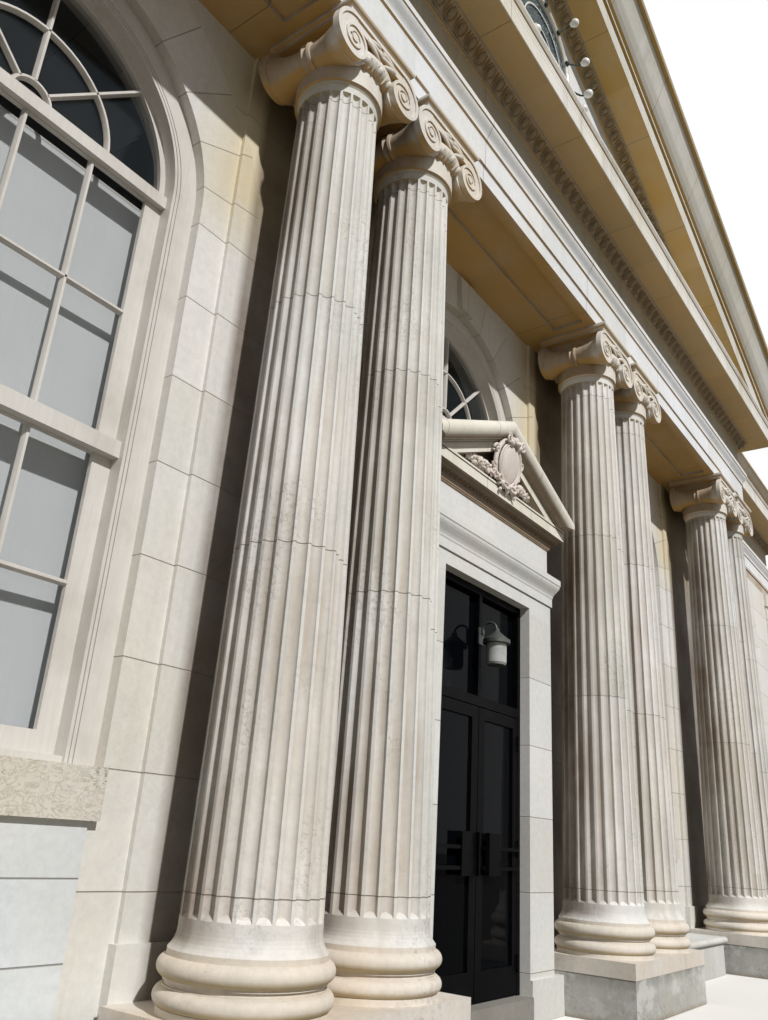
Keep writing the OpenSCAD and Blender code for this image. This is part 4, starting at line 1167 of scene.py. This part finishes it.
def shield_parts():
    """A plain oval in a thin rim, straps with curled ends round it, and a shell of five lobes on top."""
    parts = [boss(0.28, 0.355, 0.03, 6, 32), tube(oval(0.146, 0.184, y=-0.002), 0.012, 8, closed=True)]
    for s in (1, -1):
        strap = oval(0.205, 0.215, 62, -48, 20, 0.03) * (s, 1, 1)
        parts += [tube(strap, 0.024, 8, flat=0.9), tube(strap * (0.86, 1, 0.88) + (0, -0.03, 0), 0.012, 6)]
        for x, z, size, way, start, y in SCROLLS:
            parts.append(scroll(s * x, z, size, s * way, start * math.pi, y))
    for k in range(-2, 3):
        lobe = moved(boss(0.056, 0.092, 0.03, 4, 10, -0.25), (0, 0, 0.04))
        parts.append(moved(turned(lobe, 1, -0.5 * k), (-0.018 * k, -0.012, 0.172 - 0.008 * abs(k))))
    parts += [moved(boss(0.05, 0.045, 0.03, 3, 10), (0, -0.035, 0.19)),
              moved(boss(0.05, 0.08, 0.03, 3, 10, 0.5), (0, -0.01, -0.225)),
              moved(boss(0.30, 0.37, -0.15, 3, 24), (0, 0.012, 0))]
    return [leaned(part) for part in parts]


def swag_line(t):
    """From the tip at t = 0 in to the middle at t = 1: z falls by 13 cm as it comes out over the cornice."""
    x = 0.55 - 0.49 * t
    z = 4.205 - 0.012 * t - 0.105 * np.clip(t - 0.35, 0, 1) ** 1.2
    y = -0.395 - 0.085 * t
    return np.stack([x, y + WALL_Y, z], -1)


def swag(side):
    """Leaves, fruit and berries scattered round the swag's line, thickest a third of the way in."""
    rng = np.random.default_rng(7 if side > 0 else 11)
    count = 96
    t = np.sort(rng.uniform(0.0, 1.0, count))
    girth = 0.012 + 0.032 * np.sin(math.pi * np.clip(t * 1.15, 0, 1)) ** 0.7
    line = swag_line(t)
    shapes = []
    for i in range(count):
        around = rng.uniform(-0.2, math.pi + 0.2)
        off = girth[i] * rng.uniform(0.55, 1.05) * np.array([math.cos(around), -0.8 * math.sin(around), 0.0])
        size = rng.uniform(0.018, 0.046)
        wide, tall, thick, point = (0.8, 1.9, 0.4, 0.4) if rng.uniform() < 0.45 else (1.0, 1.05, 0.6, 0.0)
        lump = boss(size * wide, size * tall, size * thick, 2, 6, point)
        lump = turned(lump, 1, -rng.uniform(0, 2 * math.pi))
        shapes.append(moved(lump, line[i] + (rng.uniform(-0.008, 0.008), off[1], off[0] * 0.95)))
    spine = swag_line(np.linspace(0.0, 1.0, 24))
    width = 0.008 + 0.026 * np.sin(math.pi * np.clip(np.linspace(0.0, 1.0, 24) * 1.15, 0, 1)) ** 0.7
    shapes.append(tube(spine, width, 8, flat=0.7))
    return [(points * (side, 1, 1), faces) for points, faces in shapes]


def ribbon():
    """The knot under the shield: two loops of ribbon, and two ends that hang over the cornice's edge."""
    loops = []
    for s in (1, -1):
        loop = oval(0.055, 0.024, steps=20) + (s * 0.06, WALL_Y - 0.505, KNOT_Z)
        loops.append(tube(loop, 0.014, 6, closed=True))
        t = np.linspace(0, 1, 14)
        y, z = WALL_Y - 0.49 + 0.012 * np.sin(math.pi * t), 4.09 - 0.062 * t ** 1.5
        tail = np.stack([s * (0.06 + 0.075 * t), y, z], -1)
        loops.append(tube(tail, 0.017 * (1 - 0.35 * t) * (1 + 0.25 * np.sin(9 * t)), 6))
    knot = moved(boss(0.06, 0.055, 0.035, 3, 10), (0, WALL_Y - 0.495, KNOT_Z))
    return loops + [knot]


build("door_shield", shield_parts(), "carved_marble", sharp=50.0)
build("door_swags", swag(1) + swag(-1) + ribbon(), "carved_marble", sharp=50.0)

# %% [markdown]
# ## Medallion and lamps in the gable
# The middle of the gable holds a large round medallion of stepped rings over a dark ground, and small
# white lamps on bent arms stand round it. The medallion is turned from one profile. The arms are tubes,
# and the whole set of lamps is one lamp turned about the medallion's middle.

# %% Medallion and lamps
RIM_R = 0.62


def medallion():
    """Profile from the rim to the middle: (radius, depth), stepped rings over a dished ground with a boss."""
    rings = [(RIM_R, 0.0), (RIM_R, -0.075), (0.605, -0.09), (0.575, -0.09), (0.56, -0.075), (0.555, -0.05),
             (0.45, -0.042), (0.445, -0.052), (0.43, -0.056), (0.415, -0.052), (0.41, -0.04), (0.24, -0.034),
             (0.235, -0.046), (0.22, -0.05), (0.205, -0.046), (0.2, -0.034), (0.09, -0.032), (0.085, -0.05),
             (0.05, -0.07), (0.01, -0.076)]
    return moved(lathe(rings, 72), (0, WALL_Y - PORTICO_OUT, MEDALLION_Z))


def gable_lamps():
    """Arm from the medallion's rim bending out and up to a small round lamp, turned to eleven places."""
    t = np.linspace(0, 1, 12)
    arm = np.stack([0 * t, -0.085 - 0.14 * t, 0.58 + 0.16 * t + 0.05 * np.sin(math.pi * t)], -1)
    foot = [(0.03, 0.0), (0.03, -0.02), (0.012, -0.034)]
    bulb = [(0.018, 0.02), (0.034, 0.0), (0.046, -0.025), (0.043, -0.055), (0.024, -0.075), (0.006, -0.08)]
    arms = [tube(arm, 0.010, 6), moved(lathe(foot, 12), (0, -0.08, 0.585))]
    bulbs = [moved(lathe(bulb, 16), (0, -0.215, 0.742))]
    angles = np.radians(32.7 * np.arange(-5, 6))
    middle = (0, WALL_Y - PORTICO_OUT, MEDALLION_Z)
    return [[moved(turned(part, 1, a), middle) for a in angles for part in kind] for kind in (arms, bulbs)]


build("gable_medallion", [medallion()], "medallion", sharp=25.0)
lamp_arms, lamp_bulbs = gable_lamps()
build("gable_lamp_arms", lamp_arms, "lantern_metal")
build("gable_lamp_glasses", lamp_bulbs, "opal_glass", sharp=60.0)

# %% [markdown]
# ## Floor, light and background
# A studio photograph of a model stands it on a plain pale floor. The floor takes soft shadows, and the
# background is white where the camera or a mirror sees it. A large sun-like lamp comes from the front
# and left, as in the photograph, and the world fills the shadows.


# %% Floor and lights
def make_floor():
    """A pale floor for the camera. To other rays it is darker, so that it throws less light upwards."""
    mesh = bpy.data.meshes.new("studio_floor")
    half, under = 90, -0.002
    corners = [(-half, -half, under), (half, -half, under), (half, half, under), (-half, half, under)]
    mesh.from_pydata(corners, [], [(0, 1, 2, 3)])
    floor = bpy.data.objects.new("studio_floor", mesh)
    bpy.context.scene.collection.objects.link(floor)
    net, place = begin_material("studio_floor")
    tone = net.noise(place, 0.3, 3.0).span(0.3, 0.7)
    seen = net.put("ShaderNodeLightPath", out=0)
    finish_material(net, net.mix(seen, rgb("7C766C"), net.stain(rgb("E4E2DE"), tone, "E9E7E3")), 0.9)
    mesh.materials.append(FINISHES["studio_floor"])


def light_world(color, strength):
    """World light of one strength, and white for rays from the camera, off a mirror or through glass."""
    world = bpy.data.worlds.new("studio")
    bpy.context.scene.world = world
    world.use_nodes = True
    world.node_tree.nodes.clear()
    net = Net(world.node_tree)
    rays = net.outputs(net.add("ShaderNodeLightPath"))
    mirrored = net.math("MAXIMUM", rays["Is Glossy Ray"], rays["Is Transmission Ray"])
    seen = net.math("MAXIMUM", rays["Is Camera Ray"], mirrored)
    fill = net.put("ShaderNodeBackground", {"Color": color, "Strength": strength})
    white = net.put("ShaderNodeBackground", {"Color": (1, 1, 1, 1), "Strength": 1.0})
    net.add("ShaderNodeOutputWorld", {0: net.put("ShaderNodeMixShader", {0: seen, 1: fill, 2: white})})


def add_sun(name, toward, strength, softness, color=(1, 1, 1)):
    data = bpy.data.lights.new(name, "SUN")
    data.energy, data.angle, data.color = strength, math.radians(softness), color
    lamp = bpy.data.objects.new(name, data)
    d = unit(np.array(toward))
    side = unit(np.cross(d, (0, 0, 1.0)))
    aim(lamp, side, np.cross(side, d), -d)


make_floor()
light_world((0.95, 0.97, 1.0, 1), 0.21)
add_sun("key", (0.260, 0.700, -0.650), 3.65, 1.2, (1.0, 0.99, 0.982))
scene = bpy.context.scene
scene.view_settings.view_transform = "Standard"
